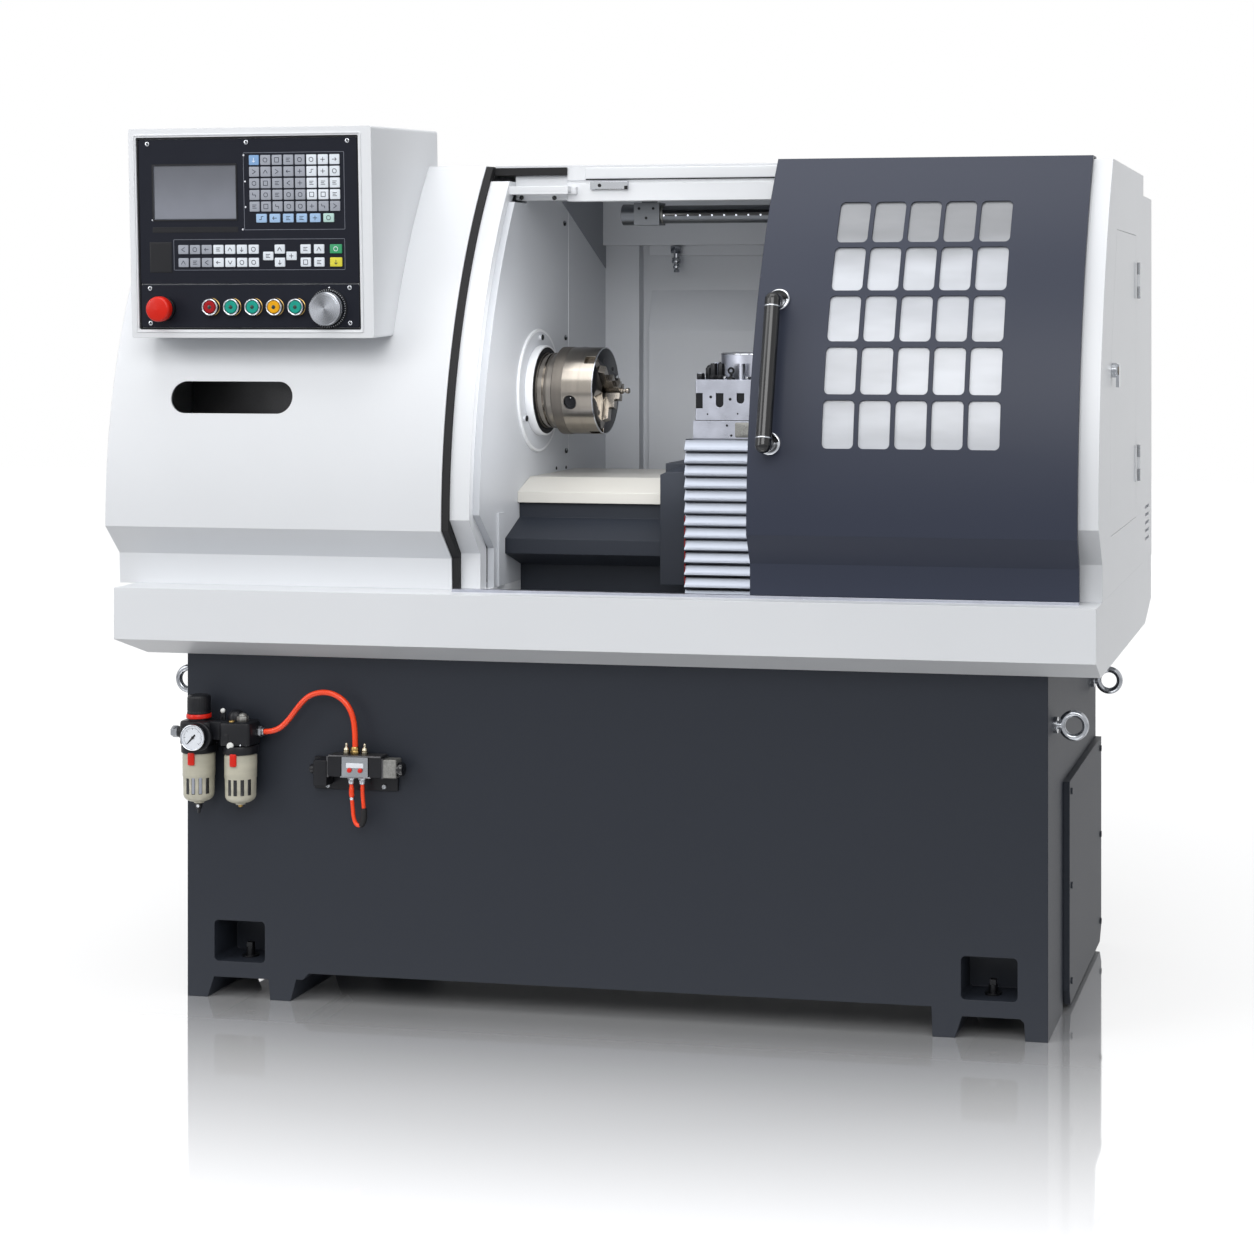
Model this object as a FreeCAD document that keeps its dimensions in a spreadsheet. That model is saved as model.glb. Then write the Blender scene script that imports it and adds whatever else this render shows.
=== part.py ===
import FreeCAD, Part
import math
import os
import re
from FreeCAD import Placement, Rotation, Vector
from Sketcher import Constraint

# Turning lathe. Every place is measured from the middle of the front foot line of the cast base:
# x to the right, y towards the back, z up, in millimetres.
# The datum values below set that point inside the part's own frame.

doc = FreeCAD.newDocument("TurningLathe")
sheet = doc.addObject("Spreadsheet::Sheet", "Dims")

sizes = [
    # datum
    ("middle_x", 18.5),
    ("front_y", -404.4),
    ("seat_gap", 0.3),
    # cast base
    ("base_width", 1594),
    ("base_depth", 691),
    ("base_top", 629),
    ("foot_pad", 39.5),
    ("foot_pair", 202),
    ("foot_arch", 38),
    ("skirt_height", 52),
    ("foot_length", 190),
    ("pocket_inset", 53),
    ("pocket_width", 99),
    ("pocket_low", 67),
    ("pocket_height", 75),
    ("pocket_depth", 90),
    ("pocket_corner", 8),
    ("jack_radius", 8),
    ("jack_clearance", 1),
    ("jack_back", 45),
    ("jack_height", 84),
    ("jack_tip", 36),
    ("side_plate_start", 196),
    ("side_plate_length", 490),
    ("side_plate_low", 10),
    ("side_plate_high", 412),
    ("side_plate_thick", 12),
    ("side_plate_corner", 26),
    ("eye_ring", 21),
    ("eye_wire", 6),
    ("eye_reach", 35),
    ("eye_front", 75),
    ("eye_rear", 620),
    ("eye_height", 534),
    ("eye_height_left", 571),
    # chip tray
    ("tray_left", 907),
    ("tray_right", 888),
    ("tray_overhang", 67),
    ("tray_rear", 895),
    ("tray_top", 755),
    ("tray_face", 94),
    ("tray_rear_bend", 769),
    ("tray_rear_rise", 38),
    ("tray_left_bevel", 32),
    ("tray_floor", 4),
    ("tray_rim", 63),
    ("tray_rim_right", 48),
    ("pan_rear", 722),
    # curved front shared by covers, jamb and door
    ("sweep_lean", 225.132),
    ("sweep_rise", 59),
    ("bulge_depth", 40),
    ("bulge_rise", 53),
    ("fold_depth", 11),
    ("fold_height", 811),
    ("foot_lip", 13),
    ("cover_top", 1530),
    ("cover_left", 939),
    ("cover_right", -289.5),
    ("cover_rear", 700),
    ("sheet_thick", 4),
    ("slot_left", -822),
    ("slot_right", -584),
    ("slot_height", 1100),
    ("slot_radius", 29),
    ("seal_width", 13),
    ("seal_deep", 14),
    ("seal_inset", 2),
    ("seal_leg_end", -135),
    ("seal_leg_low", 1512),
    ("jamb_left", -276),
    ("jamb_right", -239),
    ("jamb_inset", 8),
    ("jamb_deep", 30),
    ("jamb_fold", 23),
    ("jamb_top", 1500),
    # chamber
    ("wall_x", -226),
    ("rear_y", 729),
    ("rear_thick", 6),
    ("header_face", 197),
    ("header_deep", 33),
    ("header_low", 1463),
    ("header_start", -135),
    ("header_end", 289.5),
    ("panel_start", 290),
    ("side_return", 613),
    ("band_low", 1395),
    ("band_proud", 49),
    ("strip_low", 1374),
    ("strip_proud", 24),
    ("post_right", -153),
    ("post_gap", 20),
    ("shelf_high", 1303),
    ("shelf_low", 1218),
    ("shelf_proud", 29),
    ("cabinet_left", -600),
    ("cabinet_rear", 905),
    ("cabinet_top", 1490),
    # service door in the right side
    ("hatch_low", 858),
    ("hatch_high", 1405),
    ("hatch_front_low", 155),
    ("hatch_front_mid", 140),
    ("hatch_mid", 1114),
    ("hatch_front_high", 253),
    ("hatch_rear", 588),
    ("hatch_gap", 0.8),
    ("hinge_pin", 4),
    ("hinge_high", 1318),
    ("hinge_low", 963),
    ("hinge_length", 70),
    ("latch_y", 170),
    ("latch_z", 1152),
    # sliding door
    ("door_left", 274),
    ("door_width", 579),
    ("door_deep", 12),
    ("door_gap", 2),
    ("door_skin", 3),
    ("door_top", 1536),
    ("door_return", 50),
    ("door_low", 760),
    ("door_fold_rise", 5),
    ("door_fold", -20),
    ("pane_left", 405.5),
    ("pane_first", 191.6),
    ("pane_rise", 95.3),
    ("pane_height", 84.8),
    ("pane_pitch", 64.1),
    ("pane_width", 56),
    ("pane_corner", 9),
    ("pane_rows", 5),
    ("pane_columns", 5),
    ("window_thick", 4),
    ("window_margin", 22),
    ("handle_x", 313.5),
    ("handle_low", 1026),
    ("handle_high", 1276.5),
    ("handle_reach", 60),
    ("handle_radius", 14),
    # spindle
    ("axis_y", 290),
    ("axis_z", 1107),
    ("collar_radius", 85),
    ("collar_length", 14),
    ("flange_radius", 117),
    ("flange_thick", 4),
    ("nose_radius", 71),
    ("nose_gap", 4),
    ("spindle_radius", 45),
    ("spindle_bore", 26),
    ("spindle_fit", 0.1),
    ("headstock_left", -860),
    ("headstock_right", -262),
    ("chuck_back", -172),
    ("chuck_face", -91),
    ("chuck_radius", 82.5),
    ("chuck_bore", 22),
    ("jaw_width", 17.4),
    ("jaw_slot_deep", 22),
    ("jaw_inner", 6.3),
    ("jaw_outer", 74),
    ("jaw_step", 12),
    ("jaw_turn", 46),
    ("pin_radius", 6),
    ("pin_end", -43),
    # bed and carriage
    ("bed_right", 835),
    ("way_low", 901),
    ("way_shoulder", 921),
    ("way_top", 945),
    ("way_front", 179),
    ("way_flat_front", 246),
    ("way_flat_rear", 510),
    ("way_rear", 577),
    ("saddle_left", 76),
    ("saddle_width", 344),
    ("saddle_front", 95),
    ("saddle_rear", 610),
    ("saddle_wall", 15),
    ("saddle_top", 980),
    ("saddle_low", 762),
    ("apron_left", 131),
    ("apron_width", 275),
    ("apron_front", 66),
    ("apron_deep", 28.7),
    ("apron_top", 1027.7),
    ("slat_pitch", 22.4),
    ("slat_count", 13),
    ("slide_left", 135),
    ("slide_width", 270),
    ("slide_front", 97),
    ("slide_length", 385),
    ("slide_top", 1028),
    ("turret_x", 239),
    ("turret_y", 182),
    ("turret_half", 95),
    ("turret_base_top", 1060),
    ("turret_top", 1134),
    ("turret_plate", 24),
    ("notch_width", 14),
    ("notch_high", 28),
    ("notch_deep", 21),
    ("notch_pitch", 38.6),
    ("bolt_radius", 5.5),
    ("post_radius", 30),
    ("cap_radius", 70),
    ("cap_height", 47),
    # tailstock
    ("tail_left", 590),
    ("tail_length", 150),
    ("tail_width", 120),
    ("barrel_radius", 44),
    ("quill_radius", 22),
    ("quill_out", 45),
    # control box
    ("box_left", -870),
    ("box_front", -68),
    ("box_low", 1209),
    ("box_width", 467),
    ("box_height", 378),
    ("box_deep", 308),
    ("box_pitch", 2.4),
    ("panel_inset", 18),
    ("panel_width", 420),
    ("keyboard_low", 98),
    ("keyboard_height", 260),
    ("panel_low", 19),
    ("panel_height", 77),
    ("panel_thick", 5),
    ("panel_recess", 3),
    ("screen_left", 46),
    ("screen_low", 214),
    ("screen_width", 160),
    ("screen_height", 97),
    ("key_size", 17.6),
    ("key_thick", 1.5),
    ("key_left", 233.3),
    ("key_low", 227.2),
    ("key_pitch_x", 22),
    ("key_pitch_z", 20.8),
    ("soft_left", 245.3),
    ("soft_low", 207.7),
    ("soft_width", 19.2),
    ("soft_height", 14.6),
    ("soft_pitch", 25.7),
    ("strip_x", 93),
    ("strip_z", 128.2),
    ("strip_key", 18.8),
    ("strip_key_high", 15.6),
    ("strip_pitch", 22.7),
    ("strip_pitch_z", 23.5),
    ("cross_left", 257),
    ("cross_pitch", 22.4),
    ("pair_left", 328.8),
    ("pair_pitch", 25.8),
    ("start_left", 385),
    ("start_width", 22.2),
    ("button_z", 56),
    ("button_radius", 11),
    ("button_ring", 15),
    ("button_first", 155.7),
    ("button_pitch", 41.2),
    ("button_out", 7),
    ("stop_x", 65),
    ("stop_z", 53),
    ("stop_radius", 22.5),
    ("dial_x", 379.5),
    ("dial_radius", 30),
    # air preparation unit and valve on the base front
    ("air_y", -36),
    ("air_z", 480),
    ("filter_inset", 41),
    ("oiler_gap", 81.5),
    ("bowl_radius", 29),
    ("bowl_top", 458),
    ("bowl_low", 374),
    ("gauge_radius", 23.5),
    ("gauge_z", 488.5),
    ("knob_low", 524),
    ("knob_radius", 21),
    ("knob_height", 34),
    ("valve_inset", 337),
    ("valve_low", 420),
    ("valve_high", 459),
    ("hose_y", -25),
    ("hose_radius", 5),
    ("small_hose_radius", 3.5),
]
for row, (alias, value) in enumerate(sizes, 1):
    sheet.set("A%d" % row, alias)
    sheet.set("B%d" % row, str(value))
    sheet.setAlias("B%d" % row, alias)
doc.recompute()
known = {alias for alias, value in sizes}
word = re.compile(r"[a-z_][a-z_0-9]*")
# places that follow from the sizes above
followers = {
    "sweep_height": "(fold_height + sweep_rise)",
    "sweep_radius": "(((cover_top - fold_height - sweep_rise)^2 + sweep_lean^2) / (2 * sweep_lean))",
    "bulge_low": "(fold_height + bulge_rise)",
    "door_fold_height": "(fold_height + door_fold_rise)",
    "filter_x": "(filter_inset - base_width / 2)",
    "oiler_x": "(filter_inset + oiler_gap - base_width / 2)",
    "gauge_x": "(filter_inset + 9 - base_width / 2)",
    "valve_x": "(valve_inset - base_width / 2)",
}
planes = {"XY": "XY_Plane", "XZ": "XZ_Plane", "YZ": "YZ_Plane"}
turns = {
    "X": Rotation(Vector(0, 1, 0), 90),
    "Y": Rotation(Vector(1, 0, 0), -90),
    "Z": Rotation(),
}
spots = {}
pieces = []


def full(text):
    # a formula with the places that follow from other sizes written out
    return word.sub(lambda m: followers.get(m.group(), m.group()), str(text))


def named(text):
    # a formula whose named sizes are read from the sheet
    return word.sub(lambda m: "Dims." + m.group() if m.group() in known else m.group(), full(text))


def num(text):
    return float(sheet.evalExpression(full(text)))


def bind(thing, **formulas):
    for key, text in formulas.items():
        thing.setExpression(key.replace("__", "."), named(text))
        if "__" not in key:
            setattr(thing, key, num(text))


def place(thing, x, y, z):
    spots[thing.Name] = (x, y, z)
    bind(thing, Placement__Base__x=x, Placement__Base__y=y, Placement__Base__z=z)


def box(x0, x1, y0, y1, z0, z1):
    solid = doc.addObject("Part::Box", "Block")
    bind(solid, Length=f"({x1}) - ({x0})", Width=f"({y1}) - ({y0})", Height=f"({z1}) - ({z0})")
    place(solid, x0, y0, z0)
    return solid


def rod(axis, x, y, z, length, radius):
    solid = doc.addObject("Part::Cylinder", "Rod")
    bind(solid, Radius=radius, Height=length)
    solid.Placement = Placement(Vector(), turns[axis])
    place(solid, x, y, z)
    return solid


def cone(axis, x, y, z, length, radius, radius_end):
    solid = doc.addObject("Part::Cone", "Taper")
    bind(solid, Radius1=radius, Radius2=radius_end, Height=length)
    solid.Placement = Placement(Vector(), turns[axis])
    place(solid, x, y, z)
    return solid


def hexagon(axis, x, y, z, length, across):
    solid = doc.addObject("Part::Prism", "Hex")
    solid.Polygon = 6
    bind(solid, Circumradius=f"({across}) / 1.732", Height=length)
    solid.Placement = Placement(Vector(), turns[axis])
    place(solid, x, y, z)
    return solid


def ring(axis, x, y, z, radius, wire):
    solid = doc.addObject("Part::Torus", "Ring")
    bind(solid, Radius1=radius, Radius2=wire)
    solid.Placement = Placement(Vector(), turns[axis])
    place(solid, x, y, z)
    return solid


def fuse(*solids):
    if len(solids) == 1:
        return solids[0]
    joined = doc.addObject("Part::MultiFuse", "Joined")
    joined.Shapes = list(solids)
    return joined


def cut(solid, *tools):
    rest = doc.addObject("Part::Cut", "Cut")
    rest.Base = solid
    rest.Tool = fuse(*tools)
    return rest


def group(*solids):
    held = doc.addObject("Part::Compound", "Set")
    held.Links = list(solids)
    return held


def piece(label, solid, tilted=False):
    # a finished sub-part, placed from the datum and, on the control box, leaned with its front
    solid.Label = label
    x, y, z = spots.get(solid.Name, ("0", "0", "0"))
    if tilted:
        solid.Placement = Placement(Vector(), Rotation(Vector(1, 0, 0), num("box_pitch")))
        bind(solid, Placement__Rotation__Angle="box_pitch")
        x, y, z = "box_left", "box_front", "box_low"
    place(solid, f"middle_x + ({x})", f"front_y + ({y})", z)
    pieces.append(solid)
    return solid


def body(name):
    return doc.addObject("PartDesign::Body", name)


def unit(a, b):
    run = Vector(b[0] - a[0], b[1] - a[1], 0)
    return run.normalize()


def draw(sketch, loop):
    # closed loop of corners (u, v) or rounded corners (u, v, r), and ("arc", r) between two
    # corners for a side of radius r, centre on the right of the way along it when r is positive
    corners = [item for item in loop if item[0] != "arc"]
    bends = {}
    for at, item in enumerate(loop):
        if item[0] == "arc":
            bends[sum(1 for other in loop[:at] if other[0] != "arc") - 1] = item[1]
    points = [(num(c[0]), num(c[1])) for c in corners]
    count = len(points)
    starts, ends, round_at = list(points), list(points), {}
    for i, corner in enumerate(corners):
        if len(corner) < 3:
            continue
        back, on = unit(points[i], points[i - 1]), unit(points[i], points[(i + 1) % count])
        half = back.getAngle(on) / 2
        radius = num(corner[2])
        here = Vector(points[i][0], points[i][1], 0)
        first = here + back * (radius / math.tan(half))
        last = here + on * (radius / math.tan(half))
        centre = here + (back + on).normalize() * (radius / math.sin(half))
        ends[i], starts[i] = (first.x, first.y), (last.x, last.y)
        round_at[i] = (centre, first, last, radius)
    geometry, rules, formulas = [], [], []
    base = sketch.GeometryCount
    tails = {}
    for i in range(count):
        p, q = starts[i], ends[(i + 1) % count]
        a, b = Vector(p[0], p[1], 0), Vector(q[0], q[1], 0)
        if i in bends:
            radius = num(bends[i])
            way = (b - a).normalize()
            side = Vector(way.y, -way.x, 0) * (1 if radius > 0 else -1)
            drop = math.sqrt(radius * radius - ((b - a).Length / 2) ** 2)
            centre = (a + b) * 0.5 + side * drop
            angle_a = math.atan2(a.y - centre.y, a.x - centre.x)
            angle_b = math.atan2(b.y - centre.y, b.x - centre.x)
            low, high = (angle_b, angle_a) if radius > 0 else (angle_a, angle_b)
            if high < low:
                high += 2 * math.pi
            circle = Part.Circle(centre, Vector(0, 0, 1), abs(radius))
            geometry.append(Part.ArcOfCircle(circle, low, high))
            tails[i] = (2, 1) if radius > 0 else (1, 2)
            bound = bends[i] if radius > 0 else f"-({bends[i]})"
            formulas.append((Constraint("Radius", base + i, abs(radius)), bound))
        else:
            geometry.append(Part.LineSegment(a, b))
            tails[i] = (1, 2)
    for i in range(count):
        before = (i - 1) % count
        this, past = base + i, base + before
        u, v = corners[i][0], corners[i][1]
        if i not in round_at:
            rules.append(Constraint("Coincident", past, tails[before][1], this, tails[i][0]))
            spot = (this, tails[i][0])
        else:
            centre, first, last, radius = round_at[i]
            arc = base + len(geometry)
            circle = Part.Circle(centre, Vector(0, 0, 1), radius)
            angle_a = math.atan2(first.y - centre.y, first.x - centre.x)
            angle_b = math.atan2(last.y - centre.y, last.x - centre.x)
            left = (first - centre).cross(last - centre).z > 0
            low, high = (angle_a, angle_b) if left else (angle_b, angle_a)
            if high < low:
                high += 2 * math.pi
            geometry.append(Part.ArcOfCircle(circle, low, high))
            geometry.append(Part.Point(Vector(points[i][0], points[i][1], 0)))
            enter, leave = (1, 2) if left else (2, 1)
            rules.append(Constraint("Tangent", past, 2, arc, enter))
            rules.append(Constraint("Tangent", arc, leave, this, 1))
            rules.append(Constraint("PointOnObject", arc + 1, 1, past))
            rules.append(Constraint("PointOnObject", arc + 1, 1, this))
            formulas.append((Constraint("Radius", arc, radius), corners[i][2]))
            spot = (arc + 1, 1)
        formulas.append((Constraint("DistanceX", -1, 1, spot[0], spot[1], points[i][0]), u))
        formulas.append((Constraint("DistanceY", -1, 1, spot[0], spot[1], points[i][1]), v))
    sketch.addGeometry(geometry, False)
    for i in round_at:
        order = sorted(round_at).index(i)
        sketch.setConstruction(base + count + 2 * order + 1, True)
    first_rule = sketch.ConstraintCount
    sketch.addConstraint(rules + [rule for rule, text in formulas])
    for at, (rule, text) in enumerate(formulas):
        sketch.setExpression("Constraints[%d]" % (first_rule + len(rules) + at), named(text))


def draw_circle(sketch, u, v, radius):
    this = sketch.GeometryCount
    first = sketch.ConstraintCount
    sketch.addGeometry(Part.Circle(Vector(num(u), num(v), 0), Vector(0, 0, 1), num(radius)), False)
    sketch.addConstraint([
        Constraint("DistanceX", -1, 1, this, 3, num(u)),
        Constraint("DistanceY", -1, 1, this, 3, num(v)),
        Constraint("Radius", this, num(radius)),
    ])
    for at, text in enumerate((u, v, radius)):
        sketch.setExpression("Constraints[%d]" % (first + at), named(text))


def draw_slot(sketch, u0, u1, v, radius):
    # a level slot with round ends whose outermost points are at u0 and u1
    left, right = f"({u0}) + ({radius})", f"({u1}) - ({radius})"
    low, high = f"({v}) - ({radius})", f"({v}) + ({radius})"
    arc = f"-({radius}) * 1.0000001"
    draw(sketch, [(left, low), (right, low), ("arc", arc), (right, high), (left, high), ("arc", arc)])


def sketch_on(owner, plane, offset, loops):
    sketch = owner.newObject("Sketcher::SketchObject", "Outline")
    origin = [o for o in owner.Origin.OriginFeatures if o.Role == planes[plane]][0]
    sketch.AttachmentSupport = [(origin, "")]
    sketch.MapMode = "FlatFace"
    bind(sketch, AttachmentOffset__Base__z=offset)
    for loop in loops:
        if loop[0] == "circle":
            draw_circle(sketch, *loop[1:])
        elif loop[0] == "slot":
            draw_slot(sketch, *loop[1:])
        else:
            draw(sketch, loop)
    return sketch


def pad(owner, plane, loops, low, high):
    # material between low and high along the axis square to the plane
    start = f"-({high})" if plane == "XZ" else low
    feature = owner.newObject("PartDesign::Pad", "Pad")
    feature.Profile = sketch_on(owner, plane, start, loops)
    bind(feature, Length=f"({high}) - ({low})")
    doc.recompute()
    return feature


def pocket(owner, plane, loops, low, high):
    # a cut between low and high along the axis square to the plane
    before = owner.Shape.Volume
    start = f"-({low})" if plane == "XZ" else high
    feature = owner.newObject("PartDesign::Pocket", "Pocket")
    feature.Profile = sketch_on(owner, plane, start, loops)
    bind(feature, Length=f"({high}) - ({low})")
    doc.recompute()
    if owner.Shape.Volume >= before - 1e-6:
        raise ValueError("a pocket in %s takes nothing away" % owner.Name)
    return feature


def turned(owner, plane, loops, axis, cutting=False):
    # a revolved form, or a groove, round one of the body's own axes
    before = owner.Shape.Volume if cutting else 0
    kind = "PartDesign::Groove" if cutting else "PartDesign::Revolution"
    feature = owner.newObject(kind, "Turned")
    feature.Profile = sketch_on(owner, plane, "0", loops)
    line = [o for o in owner.Origin.OriginFeatures if o.Role == axis + "_Axis"][0]
    feature.ReferenceAxis = (line, [""])
    feature.Angle = 360
    doc.recompute()
    if cutting and owner.Shape.Volume >= before - 1e-6:
        raise ValueError("a groove in %s takes nothing away" % owner.Name)
    return feature


def round_copies(owner, feature, axis, count):
    # equal copies of a feature all round an axis
    pattern = owner.newObject("PartDesign::PolarPattern", "Round")
    pattern.Originals = [feature]
    line = [o for o in owner.Origin.OriginFeatures if o.Role == axis + "_Axis"][0]
    pattern.Axis = (line, [""])
    pattern.Angle = 360
    pattern.Occurrences = count
    owner.Tip = pattern
    doc.recompute()
    return pattern


def row_copies(owner, feature, axis, pitch, count):
    # equal copies of a feature in a straight row
    pattern = owner.newObject("PartDesign::LinearPattern", "Row")
    pattern.Originals = [feature]
    line = [o for o in owner.Origin.OriginFeatures if o.Role == axis + "_Axis"][0]
    pattern.Direction = (line, [""])
    pattern.Mode = "Spacing"
    pattern.Occurrences = int(num(count))
    bind(pattern, Offset=pitch)
    owner.Tip = pattern
    doc.recompute()
    return pattern


def rectangle(u0, u1, v0, v1):
    return [(u0, v0), (u1, v0), (u1, v1), (u0, v1)]


def rounded(u0, u1, v0, v1, radius):
    return [(u0, v0, radius), (u1, v0, radius), (u1, v1, radius), (u0, v1, radius)]


# The front of the covers, seen from the side: a lip, a fold out to the bulge, and a large arc up to
# the top. Every front that follows it shares the arc's centre and differs by how far it is set back.
centre_y = "(sweep_radius - bulge_depth)"


def arc_y(back, height):
    # where the arc set back by that much stands at a height
    radius = f"(sweep_radius - ({back}))"
    return f"{centre_y} - sqrt({radius}^2 - (({height}) - sweep_height)^2)"


# ---------------------------------------------------------------- cast base
half = "base_width / 2"
frame = body("BaseFrame")
pad(frame, "XZ", [[
    (f"-{half}", "0"),
    (f"-{half} + foot_pad", "0"),
    (f"-{half} + foot_pad + 12.5", "foot_arch"),
    (f"-{half} + foot_pair - foot_pad - 3.5", "foot_arch"),
    (f"-{half} + foot_pair - foot_pad", "0"),
    (f"-{half} + foot_pair", "0"),
    (f"-{half} + foot_pair + 11", "foot_arch + 2"),
    (f"-{half} + foot_pair + 24", "foot_arch + 2"),
    (f"-{half} + foot_pair + 35", "skirt_height"),
    (f"{half} - foot_pair - 2", "skirt_height"),
    (f"{half} - foot_pair", "0"),
    (f"{half} - foot_pair + foot_pad", "0"),
    (f"{half} - foot_pair + foot_pad + 12.5", "foot_arch"),
    (f"{half} - foot_pad - 10", "foot_arch"),
    (f"{half} - foot_pad - 2", "foot_arch - 6"),
    (f"{half} - foot_pad", "0"),
    (f"{half}", "0"),
    (f"{half}", "base_top"),
    (f"-{half}", "base_top"),
]], "0", "base_depth")
pocket(frame, "YZ", [[
    ("foot_length", "-1"),
    ("base_depth - foot_length", "-1"),
    ("base_depth - foot_length - 8", "skirt_height"),
    ("foot_length + 8", "skirt_height"),
]], f"-{half} - 1", f"{half} + 1")
pocket_left = f"-{half} + pocket_inset"
pocket_right = f"{half} - pocket_inset - pocket_width"
recesses = [
    rounded(pocket_left, f"{pocket_left} + pocket_width", "pocket_low", "pocket_low + pocket_height",
            "pocket_corner"),
    rounded(pocket_right, f"{pocket_right} + pocket_width", "pocket_low", "pocket_low + pocket_height",
            "pocket_corner"),
]
pocket(frame, "XZ", recesses, "0", "pocket_depth")
pocket(frame, "XZ", recesses, "base_depth - pocket_depth", "base_depth")
jack_x = [f"{pocket_left} + pocket_width / 2", f"{pocket_right} + pocket_width / 2"]
jack_y = ["jack_back", "base_depth - jack_back"]
pocket(frame, "XY", [("circle", x, y, "jack_radius + jack_clearance") for x in jack_x for y in jack_y],
       "foot_arch - 1", "pocket_low + 1")
piece("base_frame", frame)

# levelling screws: shank, washer, nut and square end in each corner recess
jacks = []
for x in jack_x:
    for y in jack_y:
        jacks.append(fuse(
            rod("Z", x, y, "jack_tip", "jack_height - jack_tip", "jack_radius"),
            rod("Z", x, y, "pocket_low", "3", "jack_radius * 1.9"),
            hexagon("Z", x, y, "pocket_low + 3", "13", "jack_radius * 1.5"),
            box(f"{x} - 5.5", f"{x} + 5.5", f"{y} - 5.5", f"{y} + 5.5", "jack_height", "jack_height + 9"),
        ))
piece("levelling_screws", group(*jacks))

# screwed plate over the right side of the base
plate = body("SidePlate")
plate_end = "side_plate_start + side_plate_length"
pad(plate, "YZ", [[
    ("side_plate_start", "side_plate_low + side_plate_corner"),
    ("side_plate_start + side_plate_corner / 2", "side_plate_low"),
    (f"{plate_end} - side_plate_corner", "side_plate_low"),
    (f"{plate_end}", "side_plate_low + side_plate_corner"),
    (f"{plate_end}", "side_plate_high"),
    ("side_plate_start", "side_plate_high"),
]], f"{half}", f"{half} + side_plate_thick")
heads = []
for y in ("side_plate_start + 22", f"{plate_end} - 22"):
    for z in ("side_plate_high - 20", "side_plate_high - 190", "side_plate_low + 40"):
        heads.append(("circle", y, z, "6"))
pad(plate, "YZ", heads, f"{half} + side_plate_thick - 1", f"{half} + side_plate_thick + 3")
piece("base_side_cover", plate)

# lifting eyes on both sides of the base
eyes = []
for side, y, z in (
    ("1", "eye_front", "eye_height"),
    ("1", "eye_rear", "eye_height"),
    ("-1", "eye_front", "eye_height_left"),
    ("-1", "eye_rear", "eye_height_left"),
):
    outward = side == "1"
    face = half if outward else f"-{half}"
    neck = face if outward else f"{face} - eye_reach + eye_ring"
    collar = face if outward else f"{face} - 7"
    eyes.append(fuse(
        ring("Y", f"({face}) + ({side}) * eye_reach", y, z, "eye_ring", "eye_wire"),
        rod("X", neck, y, z, "eye_reach - eye_ring", "eye_wire + 1.5"),
        rod("X", collar, y, z, "7", "eye_wire * 2.4"),
    ))
piece("eyebolts", group(*eyes))

# ---------------------------------------------------------------- chip tray
tray = body("ChipTray")
pad(tray, "YZ", [[
    ("-tray_overhang", "tray_top - tray_face"),
    ("0", "base_top"),
    ("tray_rear_bend", "base_top"),
    ("tray_rear", "base_top + tray_rear_rise"),
    ("tray_rear", "tray_top"),
    ("-tray_overhang", "tray_top"),
]], "-tray_left", "tray_right")
pocket(tray, "XZ", [[
    ("-tray_left - 1", "base_top - 1"),
    ("-tray_left + tray_left_bevel", "base_top - 1"),
    ("-tray_left - 1", "base_top + tray_left_bevel"),
]], "-tray_overhang - 1", "tray_rear + 1")
pocket(tray, "XY", [rectangle("wall_x", "tray_right - tray_rim_right", "tray_rim - tray_overhang",
                              "pan_rear")], "base_top + tray_floor", "tray_top + 1")
piece("chip_tray", tray)

# ---------------------------------------------------------------- left cover over the headstock


def front_loop(back, fold, lip, lower, top, rear, low):
    # outline of a cover: lip, fold, bulge, arc, flat top and back
    return [
        (lip, low),
        (fold, lower),
        (f"-bulge_depth + ({back})", f"bulge_low + ({back}) * 0.4"),
        ("arc", f"sweep_radius - ({back})"),
        (arc_y(back, top), top),
        (rear, top),
        (rear, low),
    ]


cover = body("HeadstockCover")
pad(cover, "YZ", [front_loop("0", "fold_depth", "foot_lip", "fold_height", "cover_top", "cover_rear",
                             "tray_top")], "-cover_left", "cover_right")
pocket(cover, "YZ", [front_loop("sheet_thick", "fold_depth + sheet_thick", "foot_lip + sheet_thick",
                                "fold_height + 1.6", "cover_top - sheet_thick",
                                "cover_rear - sheet_thick", "tray_top")],
       "-cover_left + sheet_thick", "cover_right")
pocket(cover, "XZ", [("slot", "slot_left", "slot_right", "slot_height", "slot_radius")],
       "-bulge_depth - 5", "60")
piece("headstock_cover", cover)

# black rubber seal along the cover's right edge, with a leg along the top
seal = body("CoverSeal")
seal_right = "cover_right + seat_gap + seal_width"
inner = "seal_inset + seal_deep"
pad(seal, "YZ", [[
    ("foot_lip + seal_inset", "tray_top"),
    ("fold_depth + seal_inset", "fold_height + 1"),
    ("-bulge_depth + seal_inset", "bulge_low + 1"),
    ("arc", "sweep_radius - seal_inset"),
    (arc_y("seal_inset", "cover_top - seal_inset"), "cover_top - seal_inset"),
    (arc_y("seal_inset", "cover_top - seal_inset") + " + seal_deep", "cover_top - seal_inset"),
    (arc_y("seal_inset", "cover_top - seal_inset") + " + seal_deep", "seal_leg_low"),
    (arc_y(inner, "seal_leg_low"), "seal_leg_low"),
    ("arc", "-(sweep_radius - seal_inset - seal_deep)"),
    (f"-bulge_depth + {inner}", "bulge_low + 6"),
    (f"fold_depth + {inner}", "fold_height + 6"),
    (f"foot_lip + {inner}", "tray_top"),
]], "cover_right + seat_gap", seal_right)
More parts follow.
